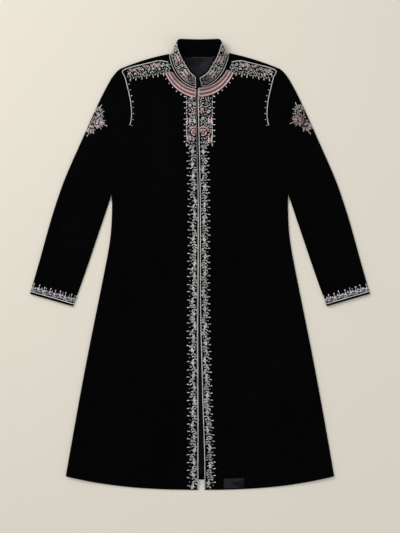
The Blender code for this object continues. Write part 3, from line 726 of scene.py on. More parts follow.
def sewnShape(name, width, rows, across, ridges, bow=0.0, groove=0.0, lean=1.0):
    # a raised satin-stitched shape: width(t) is its half width at t of its length
    shape = bmesh.new()
    grain = shape.verts.layers.float.new("grain")
    grid = []
    for r in range(rows + 1):
        t = r / rows
        half = width(t)
        line = []
        for c in range(across + 1):
            s = 2.0 * c / across - 1.0
            swell = math.sqrt(max(0.0, 1.0 - s * s)) * (1.0 - groove * (1.0 - abs(s)) ** 2)
            tall = swell * min(1.0, stitching["steepness"] * half)
            vertex = shape.verts.new((t, s * half + bow * math.sin(math.pi * t), tall - stitching["sunk"]))
            vertex[grain] = (t + lean * abs(s) * half * stitching["slant"]) * ridges
            line.append(vertex)
        grid.append(line)
    for a, b in zip(grid, grid[1:]):
        for c in range(across):
            shape.faces.new((a[c], b[c], b[c + 1], a[c + 1]))
    # a flat base closes the shape underneath
    rim = [line[0] for line in grid] + grid[-1][1:-1]
    rim += [line[-1] for line in reversed(grid)] + grid[0][-2:0:-1]
    base = [shape.verts.new((v.co.x, v.co.y, -stitching["base"])) for v in rim]
    for k in range(len(rim)):
        n = (k + 1) % len(rim)
        shape.faces.new((rim[n], rim[k], base[k], base[n]))
    bmesh.ops.remove_doubles(shape, verts=shape.verts, dist=stitching["merge"])
    mesh = meshFrom(shape, name)
    mesh.shade_smooth()
    motif = newObject(name, mesh)
    motif.hide_render = True
    return motif


# Half the width of each shape, at t of its length.

def leafWidth(t):
    return 0.5 * math.sin(math.pi * min(1.0, t ** 0.8)) ** 0.85


def dropWidth(t):
    tip = math.sqrt(max(0.0, 1.0 - max(0.0, (t - 0.72) / 0.28) ** 2))
    return 0.5 * (0.34 + 0.66 * smooth((t - 0.2) / 0.55)) * tip * math.sqrt(min(1.0, t / 0.06 + 0.001))


def roundWidth(t):
    return 0.5 * math.sqrt(max(0.0, 1.0 - (2.0 * t - 1.0) ** 2))


def petalWidth(t):
    return 0.5 * math.sqrt(max(0.0, 1.0 - (max(0.0, t - 0.6) / 0.4) ** 2)) * smooth(t / 0.6 + 0.05)


# shape, rows along, cells across, ridges, bow, groove and lean
motifs = {
    "leaf": sewnShape("motif_leaf", leafWidth, 5, 4, 7.0, 0.0, 0.35),
    "leafLeft": sewnShape("motif_leaf_left", leafWidth, 5, 4, 7.0, 0.16, 0.35),
    "leafRight": sewnShape("motif_leaf_right", leafWidth, 5, 4, 7.0, -0.16, 0.35),
    "drop": sewnShape("motif_drop", dropWidth, 7, 4, 8.0),
    "bead": sewnShape("motif_bead", roundWidth, 5, 4, 3.0, lean=0.0),
    "petal": sewnShape("motif_petal", petalWidth, 5, 4, 9.0, lean=0.5),
    "stitch": sewnShape("motif_stitch", roundWidth, 3, 2, 1.0, lean=0.0),
}


# Plans of embroidery. Places are in metres; the sizes of shapes and threads are in millimetres.

def newPlan(seed, dull=0.55, least=0.0):
    # what is sewn where; each shape is dulled by chance, from least up to dull
    return {"motifs": {}, "threads": {}, "rows": [], "marks": [], "chance": random.Random(seed),
            "dull": dull, "least": least}


def put(plan, kind, thread, at, angle, length, width, height=1.1, shade=None):
    # a shape with its root at a place
    if shade is None:
        shade = mix(plan["least"], plan["dull"], plan["chance"].random() ** 1.6)
    plan["motifs"].setdefault((kind, thread), []).append(
        (at[0], at[1], angle, length * mm, width * mm, height * mm, shade))
    for share in (0.15, 0.5, 0.85):
        plan["marks"].append(away(at, angle, length * mm * share))


def putMiddle(plan, kind, thread, at, angle, length, width, height=1.1, shade=None):
    put(plan, kind, thread, away(at, angle, -length * mm / 2), angle, length, width, height, shade)


def putOff(plan, kind, thread, root, gap, angle, length, width, height=1.1, shade=None):
    # a shape that points away from a root and starts a gap from it
    put(plan, kind, thread, away(root, angle, gap * mm), angle, length, width, height, shade)


def draw(plan, thread, points, radius=0.9, shade=0.0):
    plan["threads"].setdefault(thread, []).append((points, tapered(len(points), radius * mm), shade))
    plan["marks"] += [Vector((p[0], p[1])) for p in points[::2]]


def sewRow(plan, kind, thread, points, spacing, turn, size, uneven=0.12, seed=1, shade=0.0):
    plan["rows"].append({
        "line": (points, 1.0, shade), "Motif": motifs[kind], "Thread": threads[thread], "Turn": turn,
        "Spacing": spacing * mm, "Size": [value * mm for value in size], "Unevenness": uneven, "Seed": seed})
    plan["marks"] += evenly(points, 2 * mm)


def curl(centre, start, turns, outer, inner, hand=1.0, steps=9):
    # a spiral from its open end in to its eye
    count = max(4, int(steps * abs(turns) * 1.4))
    return [away(centre, start + hand * wholeTurn * turns * k / count,
                 mix(outer, inner, (k / count) ** 0.8) * mm) for k in range(count + 1)]


def bloom(plan, at, radius, thread, heart, turn, petals=5):
    # an open blossom: petals a little apart round a raised knot
    for k in range(petals):
        angle = turn + wholeTurn * k / petals
        putOff(plan, "petal", thread, at, radius * 0.26, angle, radius * 0.78, radius * 3.1 / petals,
               height=1.2)
    putMiddle(plan, "bead", heart, at, 0.0, radius * 0.5, radius * 0.5, height=1.7)


def rose(plan, at, radius, turn, outer, petals=5):
    # overlapping outer petals round a wound heart, with dark thread in the clefts
    for k in range(petals):
        angle = turn + wholeTurn * (k + plan["chance"].uniform(-0.12, 0.12)) / petals
        spot = away(at, angle, radius * 0.76 * mm)
        putMiddle(plan, "leafLeft", outer, spot, angle + quarterTurn, radius * 1.16, radius * 0.42,
                  height=1.3)
        cleft = [away(at, angle + 0.55, radius * share * mm) for share in (0.50, 0.66, 0.84, 1.02)]
        draw(plan, "deep", cleft, radius * 0.06)
    ring = curl(at, turn + 0.5, turns=1.0, outer=radius * 0.58, inner=radius * 0.52, steps=12)
    heart = curl(at, turn, turns=1.6, outer=radius * 0.42, inner=radius * 0.10, steps=12)
    draw(plan, "deep", ring, radius * 0.07)
    draw(plan, "rose", heart, radius * 0.13)
    putMiddle(plan, "bead", "deep", at, 0.0, radius * 0.22, radius * 0.22, height=1.6)


def leafPairs(plan, root, angle, count=2, step=5.0, opening=0.75, length=8.0, width=3.2, shrink=0.12):
    # leaves in pairs along a straight stalk, with one at its tip
    for k in range(count):
        spot = away(root, angle, step * k * mm)
        for kind, lean in (("leafRight", angle - opening), ("leafLeft", angle + opening)):
            putOff(plan, kind, "silver", spot, 1.0, lean, length * (1.0 - shrink * k), width)
    putOff(plan, "leaf", "silver", root, step * count, angle, length, width)


def fan(plan, root, angle, reach, tones, leaves, spread, width):
    # pointed leaves that open from one root, the middle one longest, with small leaves at the root
    chance = plan["chance"]
    for k in range(leaves):
        lean = spread * (2.0 * k / (leaves - 1) - 1.0)
        start = reach * chance.uniform(0.26, 0.36)
        tip = reach * (1.0 - 0.36 * (abs(lean) / spread) ** 1.3) * (1.0 if k % 2 == leaves // 2 % 2 else 0.84)
        kind = "leaf" if abs(lean) < 0.1 else ("leafLeft" if lean < 0 else "leafRight")
        put(plan, kind, tones[k % len(tones)], away(root, angle + lean, start * mm),
            angle + lean + chance.uniform(-0.1, 0.1), tip - start, width, height=1.3)
    for k in range(leaves - 2):
        lean = 0.85 * spread * (2.0 * k / (leaves - 3) - 1.0)
        putOff(plan, "leaf", tones[(k + 1) % len(tones)], root, 0.06 * reach, angle + lean, 0.25 * reach, 3.0)
    putOff(plan, "drop", "silver", root, reach * 0.84, angle, 0.17 * reach, 2.8, shade=0.1)


# room that a spot needs and its jitter in millimetres, and the share of knots among the leaves
filling = {"clear": 3.2, "jitter": 1.0 * mm, "apart": 1.7, "latest": 20, "knots": 0.3,
           "knotSize": (0.40, 0.52), "knotHeight": 1.2, "leafHeight": 1.0}


def fillGaps(plan, spots, flow, seed, length, width, extra, clear=filling["clear"]):
    # small leaves and knots where the larger shapes leave the ground bare
    chance = random.Random(seed)
    crowd = KDTree(len(plan["marks"]))
    for k, place in enumerate(plan["marks"]):
        crowd.insert((place[0], place[1], 0.0), k)
    crowd.balance()
    taken = []
    for x, y in spots:
        x += chance.uniform(-1.0, 1.0) * filling["jitter"]
        y += chance.uniform(-1.0, 1.0) * filling["jitter"]
        crowded = any(abs(x - a) + abs(y - b) < clear * mm * filling["apart"]
                      for a, b in taken[-filling["latest"]:])
        if crowded or crowd.find((x, y, 0.0))[2] < clear * mm:
            continue
        taken.append((x, y))
        colour = chance.choice(("silver",) * 4 + extra)
        angle = flow(x, y) + chance.choice((-1.0, 1.0)) * chance.uniform(0.3, 1.1)
        if chance.random() < filling["knots"]:
            size = chance.uniform(*filling["knotSize"]) * length
            putMiddle(plan, "bead", colour, (x, y), 0.0, size, size, filling["knotHeight"])
        else:
            reach = length * chance.uniform(0.8, 1.15)
            kind = chance.choice(("leaf", "leafLeft", "leafRight"))
            putMiddle(plan, kind, colour, (x, y), angle, reach, width * chance.uniform(0.85, 1.15),
                      filling["leafHeight"])


def keepInside(plan, limit, clear=1.2 * mm):
    # shapes stop at the limit or are left out, and threads bend along it
    for items in plan["motifs"].values():
        kept = []
        for x, y, angle, length, width, height, shade in items:
            room = x - limit(y) - 0.35 * width * abs(math.sin(angle))
            shorter = min(length, room / max(0.001, -math.cos(angle)))
            if room > 0.0 and shorter > 0.45 * length:
                kept.append((x, y, angle, shorter, width, height, shade))
        items[:] = kept
    for lines in plan["threads"].values():
        for line in lines:
            for point in line[0]:
                point.x = max(point.x, limit(point.y) + clear)


def gridSpots(x0, x1, y0, y1, step):
    # staggered rows of spots
    rows = int((y1 - y0) / step) + 1
    columns = int((x1 - x0) / step) + 1
    return [(x0 + (c + 0.5 * (r % 2)) * step, y0 + r * step) for r in range(rows) for c in range(columns)]


def planMesh(name, plan):
    # every motif, row and thread of a plan, still flat, as parts ready to join
    parts = []
    for (kind, thread), items in plan["motifs"].items():
        mesh = bpy.data.meshes.new(name)
        mesh.from_pydata([(item[0], item[1], 0.0) for item in items], [], [])
        mark(mesh, "turn", [item[2] for item in items])
        mark(mesh, "size", [value for item in items for value in item[3:6]], "FLOAT_VECTOR")
        mark(mesh, "shade", [item[6] for item in items])
        parts.append(runTree(name, mesh, trees["motifs"], {"Motif": motifs[kind], "Thread": threads[thread]}))
    for row in plan["rows"]:
        parts.append(runTree(name, linesMesh(name, [row["line"]]), trees["row"], row))
    for thread, lines in plan["threads"].items():
        parts.append(runTree(name, linesMesh(name, lines), trees["thread"], {
            "Thread": threads[thread], "Sides": stitching["threadSides"], "Ridge": stitching["threadRidge"]}))
    return parts


def joinParts(name, parts):
    objects = [newObject(name, part) for part in parts]
    if len(objects) > 1:
        with bpy.context.temp_override(active_object=objects[0], object=objects[0],
                                       selected_objects=objects, selected_editable_objects=objects):
            bpy.ops.object.join()
    objects[0].name = name
    return objects[0]


def sewPlan(kind, word, plan, lay):
    # joins a plan's parts, lays every point on the cloth and turns a mirrored half the right way out
    name = kind + "_" + word
    piece = joinParts(name, planMesh(name, plan))
    for vertex in piece.data.vertices:
        vertex.co = lay(*vertex.co)
    if sides[word] < 0:
        piece.data.flip_normals()
    print(name, "triangles", sum(len(p.vertices) - 2 for p in piece.data.polygons))
    finishPiece(piece)


# Cords.

cord = {"radius": 1.15 * mm, "pitch": 6.0 * mm, "step": 0.75 * mm, "sides": 6, "ridge": 1.0 * mm,
        "sunk": 0.95, "thinning": 0.6}
cordLift = cord["radius"] * cord["sunk"]
shoulderRoute = ((0.0860, 0.5470), (0.1080, 0.5505), (0.1300, 0.5460), (0.1570, 0.5395),
                 (0.1800, 0.5335), (0.1980, 0.5270), (0.2035, 0.5200), (0.1975, 0.5080),
                 (0.1935, 0.4950), (0.1895, 0.4780), (0.1855, 0.4620), (0.1820, 0.4446),
                 (0.1796, 0.4250), (0.1786, 0.4080), (0.1798, 0.3920), (0.1834, 0.3765))
shoulderOut = {"left": 2.2 * mm, "right": 6.0 * mm}
# The right front's cord is thin, and darkened with painted shade, at the breast where the left front
# lies against it: from nothing up to a share, between two heights.
edgeCordThinningAndShade = {"left": (0.0, 1.0, 0.0), "right": (0.12, 0.31, 0.92)}


def shoulderPoints(word, first=0, last=None):
    # the route above, moved out by all of the side's shift from its seventh point on
    points = [Vector((x + shoulderOut[word] * min(1.0, k / 6), y)) for k, (x, y) in enumerate(shoulderRoute)]
    return points[first:last]


def twistCord(kind, word, points, thread="bright", thick=1.0, shade=0.0):
    name = "cord_" + kind + "_" + word
    mesh = runTree(name, linesMesh(name, [(points, thick, shade)]), trees["cord"], {
        "Thread": threads[thread], "Radius": cord["radius"], "Pitch": cord["pitch"],
        "Step": cord["step"], "Sides": cord["sides"], "Ridge": cord["ridge"]})
    finishPiece(newObject(name, mesh), [kind + "_cord_" + word])


for word, side in sides.items():
    lay = layFlat(side)
    low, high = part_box("front_edge_cord_" + word)
    lowY, highY, most = edgeCordThinningAndShade[word]
    heights = stepsBetween(low.y + cord["radius"], high.y - cord["radius"], 120)
    # one share thins the cord and darkens it; the darkening is painted shade under the overlapping left front
    fade = [most * smooth((y - lowY) / (highY - lowY)) for y in heights]
    edge = [lay(frontEdge(side, y) + cord["radius"], y, cordLift) for y in heights]
    twistCord("front_edge", word, edge, thick=[1.0 - cord["thinning"] * value for value in fade], shade=fade)
    route = [lay(p.x, p.y, cordLift) for p in splinePoints(shoulderPoints(word), 4)]
    twistCord("shoulder", word, route)
print("front and shoulder cords sewn")


# Embroidery down the front edges.

frontBand = {
    "top": 0.3270, "bottom": -0.6050, "clear": 2.4 * mm, "stemStep": 2.2 * mm,
    # how far in from the edge, the picots' step, the vine's sway, and how it widens toward the hem
    "left": {"inner": 4.6, "outer": 19.4, "picots": 18.6, "sway": 2.2, "widen": 0.18,
             "bloomEvery": 6, "dull": 0.85, "seed": 11},
    "right": {"inner": 3.2, "outer": 22.2, "picots": 20.9, "sway": 2.9, "widen": 0.0,
              "bloomEvery": 4, "dull": 0.65, "seed": 23, "border": 3.4},
    "widenFrom": -0.36, "widenOver": 0.16,
    # share and waves of the vine's smaller bends, and how far inside the ends leaves and picots stay
    "bends": (0.3, 61.0), "leafEnds": (3 * mm, 6 * mm), "picotEnds": (4 * mm, 2 * mm),
    # lean and length of a blossom's six petals, its own length and its place below the last leaf
    "petals": ((0.0, 1.5), (0.9, 1.0), (-0.9, 1.0), (2.24, 1.0), (4.04, 1.0), (3.14, 1.5)),
    "petalLength": 5.2, "petalWidth": 4.4, "blossomStep": 13.5 * mm, "blossomDown": 5.5 * mm,
    "blossomTilt": (-0.4, 0.4), "blossomLeaf": (4.2, 2.8), "blossomLeafOut": 4.6 * mm,
    "leafStep": (6.0, 7.4), "leafLean": (0.65, 1.1), "leafLength": (7.6, 10.4), "leafWidth": (2.8, 3.4),
    # how often a curl takes a leaf's place, and the lean and distance of its eye
    "curlShare": 0.16, "curlLean": 1.3, "curlOut": 4.2 * mm,
    "picotSizes": ((10.8, 3.1), (4.6, 2.5)), "picotIn": 1.8, "picotLean": (-0.2, 0.2),
    "picotReach": (0.9, 1.06), "picotShift": (-0.8, 0.8), "tallShade": (0.0, 0.25), "shortShade": 0.55,
}


def bandBlossom(plan, middle):
    tilt = plan["chance"].uniform(*frontBand["blossomTilt"])
    for lean, share in frontBand["petals"]:
        put(plan, "petal", "silver", middle, quarterTurn + lean + tilt, frontBand["petalLength"] * share,
            frontBand["petalWidth"], height=1.2)
    for lean in (1.57, 4.71):
        root = away(middle, quarterTurn + lean, frontBand["blossomLeafOut"])
        put(plan, "leaf", "silver", root, quarterTurn + lean + tilt, *frontBand["blossomLeaf"])


def bandLeaves(plan, root):
    # a leaf on each side of the vine, or now and then a curl
    chance = plan["chance"]
    for flip, kind in ((-1.0, "leafRight"), (1.0, "leafLeft")):
        angle = -quarterTurn + flip * chance.uniform(*frontBand["leafLean"])
        if chance.random() < frontBand["curlShare"]:
            eye = away(root, -quarterTurn + flip * frontBand["curlLean"], frontBand["curlOut"])
            line = curl(eye, start=1.6, turns=1.1, outer=3.3, inner=1.3, hand=flip)
            draw(plan, "silver", line, radius=0.95, shade=chance.random() * 0.4)
        else:
            putOff(plan, kind, "silver", root, 1.1, angle, chance.uniform(*frontBand["leafLength"]),
                   chance.uniform(*frontBand["leafWidth"]))


def planFrontBand(word):
    # a vine with leaves either side, a solid blossom now and then, and picots past the outer border
    size, side = frontBand[word], sides[word]
    plan = newPlan(size["seed"], size["dull"])
    chance = plan["chance"]
    top, bottom, picots = frontBand["top"], frontBand["bottom"], size["picots"] * mm
    share, waves = frontBand["bends"]

    def spot(inward, y):
        wider = 1.0 + size["widen"] * smooth((frontBand["widenFrom"] - y) / frontBand["widenOver"])
        return Vector((frontEdge(side, y) + inward * mm * wider, y))

    def vine(y):
        bend = math.sin(math.pi * (top - y) / picots) + share * math.sin(waves * (top - y))
        return spot((size["inner"] + size["outer"]) / 2 + size["sway"] * bend, y)

    count = int((top - bottom) / frontBand["stemStep"])
    draw(plan, "silver", [vine(y) for y in stepsBetween(top, bottom, count)], radius=0.8, shade=0.25)
    y = top - frontBand["leafEnds"][0]
    k = 0
    while y > bottom + frontBand["leafEnds"][1]:
        if k % size["bloomEvery"] == 2:
            bandBlossom(plan, vine(y - frontBand["blossomDown"]))
            y -= frontBand["blossomStep"]
        else:
            bandLeaves(plan, vine(y))
            y -= chance.uniform(*frontBand["leafStep"]) * mm
        k += 1
    y = top - frontBand["picotEnds"][0]
    k = 0
    while y > bottom + frontBand["picotEnds"][1]:
        # tall and short picots in turn, the short ones duller
        length, width = frontBand["picotSizes"][k % 2]
        root = spot(size["outer"] - frontBand["picotIn"], y + chance.uniform(*frontBand["picotShift"]) * mm)
        lean = chance.uniform(*frontBand["picotLean"])
        reach = length * chance.uniform(*frontBand["picotReach"])
        shade = chance.uniform(*frontBand["tallShade"]) if k % 2 == 0 else frontBand["shortShade"]
        put(plan, "drop", "silver", root, lean, reach, width, height=1.4, shade=shade)
        y -= picots / 2
        k += 1
    keepInside(plan, lambda y: frontEdge(side, y) + frontBand["clear"])
    if "border" in size:
        line = [spot(size["border"], y) for y in stepsBetween(top, bottom, 300)]
        draw(plan, "silver", line, radius=0.5, shade=0.6)
    return plan


# Embroidery on the breast, beside the closing.

breast = {
    "top": 0.4520, "bottom": 0.3290, "edgeAt": 0.39, "sprig": 7.0, "spotStep": 3.0 * mm,
    "sprigThreads": ("dusk", "silver", "silver", "sage"),
    # step and size of the border's leaves and of the picots outside it
    "leafStep": 7.6, "leaf": (8.4, 2.7, 1.2), "picotStep": 13.7, "picot": (7.2, 3.0, 1.3),
    # where the border runs, how near the edge it may come, and its seeds and dulling;
    # then each form's kind, x out from the centre, y, radius in millimetres, and thread
    "left": {"border": 32.6 * mm, "near": 2.4 * mm, "seed": 5, "fillSeed": 41, "dull": 0.36, "forms": (
        ("bloom", 0.0052, 0.4150, 7.4, "pale"), ("star", 0.0081, 0.3946, 5.2, "silver"),
        ("pair", 0.0272, 0.3895, 11.0, "pale"),
        ("rose", 0.0082, 0.3572, 11.0, "pale"), ("pair", 0.0275, 0.3385, 11.0, "pale"),
        ("bloom", 0.0175, 0.4360, 5.0, "dusk"), ("curl", 0.0225, 0.4130, 5.0, "silver"))},
    "right": {"border": 35.5 * mm, "near": 1.8 * mm, "seed": 7, "fillSeed": 43, "dull": 0.52, "forms": (
        ("bloom", 0.0150, 0.4110, 7.4, "pale"), ("spindle", 0.0149, 0.3892, 8.4, "sage"),
        ("pair", 0.0305, 0.3895, 11.0, "pale"),
        ("rose", 0.0150, 0.3578, 10.2, "pale"), ("pair", 0.0295, 0.3420, 9.0, "dusk"),
        ("curl", 0.0149, 0.4350, 5.6, "silver"), ("curl", 0.0275, 0.4300, 4.8, "silver"))},
}


def sewForm(plan, kind, at, radius, thread):
    # one of the larger forms, each with its own small parts
    turn = plan["chance"].random() * 1.2
    if kind == "rose":
        rose(plan, at, radius, turn, thread)
        for reach in (1.26, 1.46):
            arc = [away(at, angle, radius * mm * reach) for angle in stepsBetween(0.1, 3.0, 12)]
            draw(plan, "sand", arc, radius=1.15)
    elif kind == "bloom":
        bloom(plan, at, radius, thread, "silver", turn)
    elif kind == "star":
        for k in range(8):
            angle = turn + k * math.pi / 4
            putOff(plan, "leaf", thread, at, radius * 0.2, angle, radius * 0.95, 2.5, shade=0.0)
    elif kind == "spindle":
        putMiddle(plan, "leaf", thread, at, 1.45, radius * 2.2, radius * 0.95, height=1.5, shade=0.0)
        for lean in (0.57, 2.57):
            putMiddle(plan, "leaf", thread, at, lean, radius * 1.5, radius * 0.42, height=1.3)
    elif kind == "pair":
        for hand in (-1.0, 1.0):
            putMiddle(plan, "leaf", thread, at + Vector((hand * 3.5 * mm, 0.0)), 1.57 - 0.06 * hand,
                      radius * 2.2, 4.6, height=1.3)
    else:
        hand = 1.0 if at.x > 0.02 else -1.0
        line = curl(at, start=1.2, turns=1.5, outer=radius, inner=radius * 0.28, hand=hand)
        draw(plan, thread, line, radius=1.2, shade=0.1)


def planBreast(word):
    half, side = breast[word], sides[word]
    plan = newPlan(half["seed"], half["dull"])
    chance = plan["chance"]
    border, top, bottom, sprig = half["border"], breast["top"], breast["bottom"], breast["sprig"]
    edge = frontEdge(side, breast["edgeAt"]) + half["near"] + 0.9 * mm
    line = [Vector((border, y)) for y in stepsBetween(top, bottom, 30)]
    sewRow(plan, "leaf", "silver", line, breast["leafStep"], turn=0.12, size=breast["leaf"], uneven=0.4,
           seed=15, shade=0.2)
    for kind, x, y, radius, thread in half["forms"]:
        at = Vector((x, y))
        sewForm(plan, kind, at, radius, thread)
        count = {"rose": 7, "bloom": 5}.get(kind, 0)
        for k in range(count):
            # a leaf beside the blossom, where there is room for it
            angle = wholeTurn * (k + chance.random() * 0.5) / count
            root = away(at, angle, radius * mm * 1.22 + 0.6 * mm)
            tip = away(root, angle + 0.5, sprig * mm)
            clear = all(math.hypot(tip.x - form[1], tip.y - form[2]) > form[3] * mm for form in half["forms"])
            if clear and edge < tip.x < border - 1.5 * mm:
                put(plan, "leafLeft", breast["sprigThreads"][k % 4], root, angle + 0.5, sprig, 3.2)
    picots = [Vector((border + 1.0 * mm, y)) for y in (bottom + 3 * mm, top + 2 * mm)]
    sewRow(plan, "drop", "silver", picots, breast["picotStep"], -quarterTurn, breast["picot"], seed=3)
    spots = gridSpots(edge, border - 2.8 * mm, bottom, top + 1 * mm, breast["spotStep"])
    fillGaps(plan, spots, lambda x, y: quarterTurn, half["fillSeed"], 6.4, 3.1, ("sage", "dusk", "dusk"))
    keepInside(plan, lambda y: frontEdge(side, y) + half["near"])
    return plan


# Braid round the neck.

braid = {
    "y": 0.5704,
    # half width, drop and top of the outer and the inner edge
    "left": {"outer": (0.1014, 0.1163, 0.5177), "inner": (0.0822, 0.0923, 0.5250)},
    "right": {"outer": (0.1050, 0.1196, 0.5170), "inner": (0.0866, 0.0968, 0.5190)},
    # pairs of couched threads: share of the width, thread, radius in millimetres and shade
    "lines": ((0.04, "sand", 0.95, 0.25), (0.125, "sand", 0.95, 0.05), (0.455, "pale", 1.0, 0.0),
              (0.54, "pale", 1.0, 0.1), (0.875, "pale", 1.05, 0.0), (0.965, "pale", 1.05, 0.05),
              (0.24, "deep", 0.7, 0.0), (0.35, "deep", 0.7, 0.0), (0.65, "deep", 0.7, 0.0),
              (0.77, "deep", 0.7, 0.0)),
    "crosses": (0.295, 0.71), "crossStep": 3.3, "crossTurn": 0.75, "cross": (4.6, 1.2, 0.7),
    "picotStep": 13.5, "picotGap": 1.6 * mm, "picot": (5.4, 3.6, 1.5), "level": 9.9 * mm,
}


def ringArc(word, share, grow=0.0):
    # from the front edge up to the shoulder, at a share of the way from the inner to the outer edge
    halfWidth, drop, topY = (mix(a, b, share) for a, b in zip(braid[word]["inner"], braid[word]["outer"]))
    last = math.acos((braid["y"] - topY) / drop)
    first = math.asin((frontEdge(sides[word], braid["y"] - drop) + 3.6 * mm) / halfWidth)
    return [Vector(((halfWidth + grow) * math.sin(turn), braid["y"] - (drop + grow) * math.cos(turn)))
            for turn in stepsBetween(first, last, 44)]


def planRing(word):
    plan = newPlan(3)
    for share, thread, radius, shade in braid["lines"]:
        plan["threads"].setdefault(thread, []).append((ringArc(word, share), radius * mm, shade))
    for k, share in enumerate(braid["crosses"]):
        for turn in (braid["crossTurn"], -braid["crossTurn"]):
            sewRow(plan, "stitch", "wine", ringArc(word, share), braid["crossStep"], turn, braid["cross"],
                   uneven=0.1, seed=5 + k, shade=0.15)
    for at, thread, shade in ((0, "pale", 0.05), (-1, "dusk", 0.2)):
        inner, outer = (ringArc(word, share)[at] for share in (0.02, 0.98))
        draw(plan, thread, [inner.lerp(outer, t) for t in stepsBetween(0.0, 1.0, 8)], 1.2, shade)
    return plan


def planRingPicots(word):
    plan = newPlan(4)
    path = ringArc(word, 1.0, braid["picotGap"])[4:]
    sewRow(plan, "drop", "silver", path, braid["picotStep"], -quarterTurn, braid["picot"], seed=9)
    return plan


# Shoulders and armholes.

shoulder = {
    "from": 0.0815, "to": 0.1960, "low": ((0.0780, 0.1000, 0.1960), (0.5290, 0.5180, 0.5030)),
    "seed": {"left": 17, "right": 19}, "fillSeed": {"left": 51, "right": 53},
    # x of each fan, its depth under the line and its petals' reach in millimetres
    "fans": ((0.1180, 5.0, 11.5), (0.1463, 3.6, 8.6), (0.1830, 4.4, 10.5)),
    "petals": (-2.85, -2.2, -1.5, -0.85, -0.25), "curls": (0.0985, 0.1300, 0.1635),
    "bead": (4.2, 3.4, 1.7), "leaf": (8.2, 3.4), "lonePetal": (12.0, 7.0, 1.4), "spotStep": 3.1 * mm,
    # the spikes along the lower edge: a long and a short one in each step
    "spikeStep": 14.6 * mm, "spikeSizes": ((11.5, 3.3), (5.4, 2.8)),
    # the wavering line along that edge: height and waves
    "waver": 1.6 * mm, "wavering": 300.0,
}


def shoulderLine(x, word):
    # y of the band's upper line
    route = splinePoints(shoulderPoints(word, 0, 6), 6)
    for a, b in zip(route, route[1:]):
        if a.x <= x <= b.x:
            return mix(a.y, b.y, (x - a.x) / (b.x - a.x))
    return route[0].y if x < route[0].x else route[-1].y


def shoulderLow(x):
    return lookUp(*shoulder["low"], x)


def planShoulder(word):
    plan = newPlan(shoulder["seed"][word], 0.75)
    chance = plan["chance"]
    for k, (x, under, reach) in enumerate(shoulder["fans"]):
        at = Vector((x, shoulderLine(x, word) - under * mm))
        for lean in shoulder["petals"]:
            angle = lean + chance.uniform(-0.15, 0.15)
            thread = "pale" if (k + int(lean * 2)) % 3 == 0 else "dusk"
            putOff(plan, "petal", thread, at, 1.2, angle, reach * chance.uniform(0.85, 1.05),
                   reach * chance.uniform(0.45, 0.55), 1.4, chance.uniform(0.25, 0.65))
        putMiddle(plan, "bead", "deep", at, 0.0, *shoulder["bead"])
        for hand in (-1.0, 1.0):
            root = at + Vector((hand * 8.5 * mm, -reach * mm))
            put(plan, "leafLeft", "silver", root, -quarterTurn - 0.45, *shoulder["leaf"])
            put(plan, "leafRight", "silver", root, -quarterTurn + 0.55, *shoulder["leaf"])
    for x in shoulder["curls"]:
        eye = (x, shoulderLine(x, word) - 9.0 * mm)
        line = curl(eye, quarterTurn, turns=1.3, outer=4.6, inner=1.6, hand=-1.0)
        draw(plan, "silver", line, radius=1.15, shade=0.15)
    root = (0.0905, shoulderLine(0.092, word) - 15.5 * mm)
    put(plan, "petal", "sage", root, 2.0, *shoulder["lonePetal"])
    low = [Vector((x, shoulderLow(x) + shoulder["waver"] * math.sin(x * shoulder["wavering"])))
           for x in stepsBetween(shoulder["from"], shoulder["to"] - 4 * mm, 46)]
    draw(plan, "silver", low, radius=0.75, shade=0.5)
    x = shoulder["from"] + 3 * mm
    k = 0
    while x < shoulder["to"] - 5 * mm:
        length, width = shoulder["spikeSizes"][k % 2]
        put(plan, "drop", "silver", (x, shoulderLow(x) + 1.6 * mm),
            -quarterTurn + 2.2 * (x - 0.15) + chance.uniform(-0.18, 0.18), length, width, height=1.4)
        x += shoulder["spikeStep"] / 2
        k += 1
    spots = [(x, shoulderLow(x) + up) for x, up in gridSpots(
        shoulder["from"], shoulder["to"] - 2 * mm, 1.5 * mm, 36 * mm, shoulder["spotStep"])]
    spots = [(x, y) for x, y in spots if y < shoulderLine(x, word) - 4.0 * mm]
    fillGaps(plan, spots, lambda x, y: -quarterTurn, shoulder["fillSeed"][word], 6.6, 3.1, ("dusk",))
    return plan


armhole = {"step": 15.5, "gap": 2.2 * mm, "drop": (5.2, 2.7, 1.2)}


def planArmhole(word):
    plan = newPlan(6)
    path = [p - Vector((armhole["gap"], 0.0)) for p in splinePoints(shoulderPoints(word, 8), 4)]
    sewRow(plan, "drop", "silver", path[2:], armhole["step"], -quarterTurn, armhole["drop"], uneven=0.15,
           seed=13)
    return plan


# Sleeves: their folds, and the plans that wrap over them.

folds = {
    "outer": ((0.2430, 0.4986), (0.2713, 0.4446), (0.3078, 0.3636), (0.3672, 0.2286), (0.4037, 0.1206),
              (0.4334, 0.0126), (0.4600, -0.0786), (0.4678, -0.1053)),
    "inner": ((0.2713, 0.0936), (0.3078, -0.0145), (0.3430, -0.1125), (0.3525, -0.1390)),
    # how far in from the fold, and how high, the sleeve's surface is as it rolls down
    "profile": ((6.8 * mm, 8.6 * mm), (3.46 * mm, 7.82 * mm), (0.95 * mm, 5.6 * mm), (0.05 * mm, 2.6 * mm),
                (0.0, 0.9 * mm)),
    "lowest": 0.25 * mm,
}
foldLines = [(splinePoints(folds[name], 6), hand) for name, hand in (("outer", 1.0), ("inner", -1.0))]


def overFold(past):
    # how far in, how high and which way out a point is, past the start of the roll
    profile = folds["profile"]
    for a, b in zip(profile, profile[1:]):
        span = math.dist(a, b)
        if past <= span:
            t = past / span
            return mix(a[0], b[0], t), mix(a[1], b[1], t), Vector((a[1] - b[1], a[0] - b[0])).normalized()
        past -= span
    return *profile[-1], Vector((1.0, 0.0))


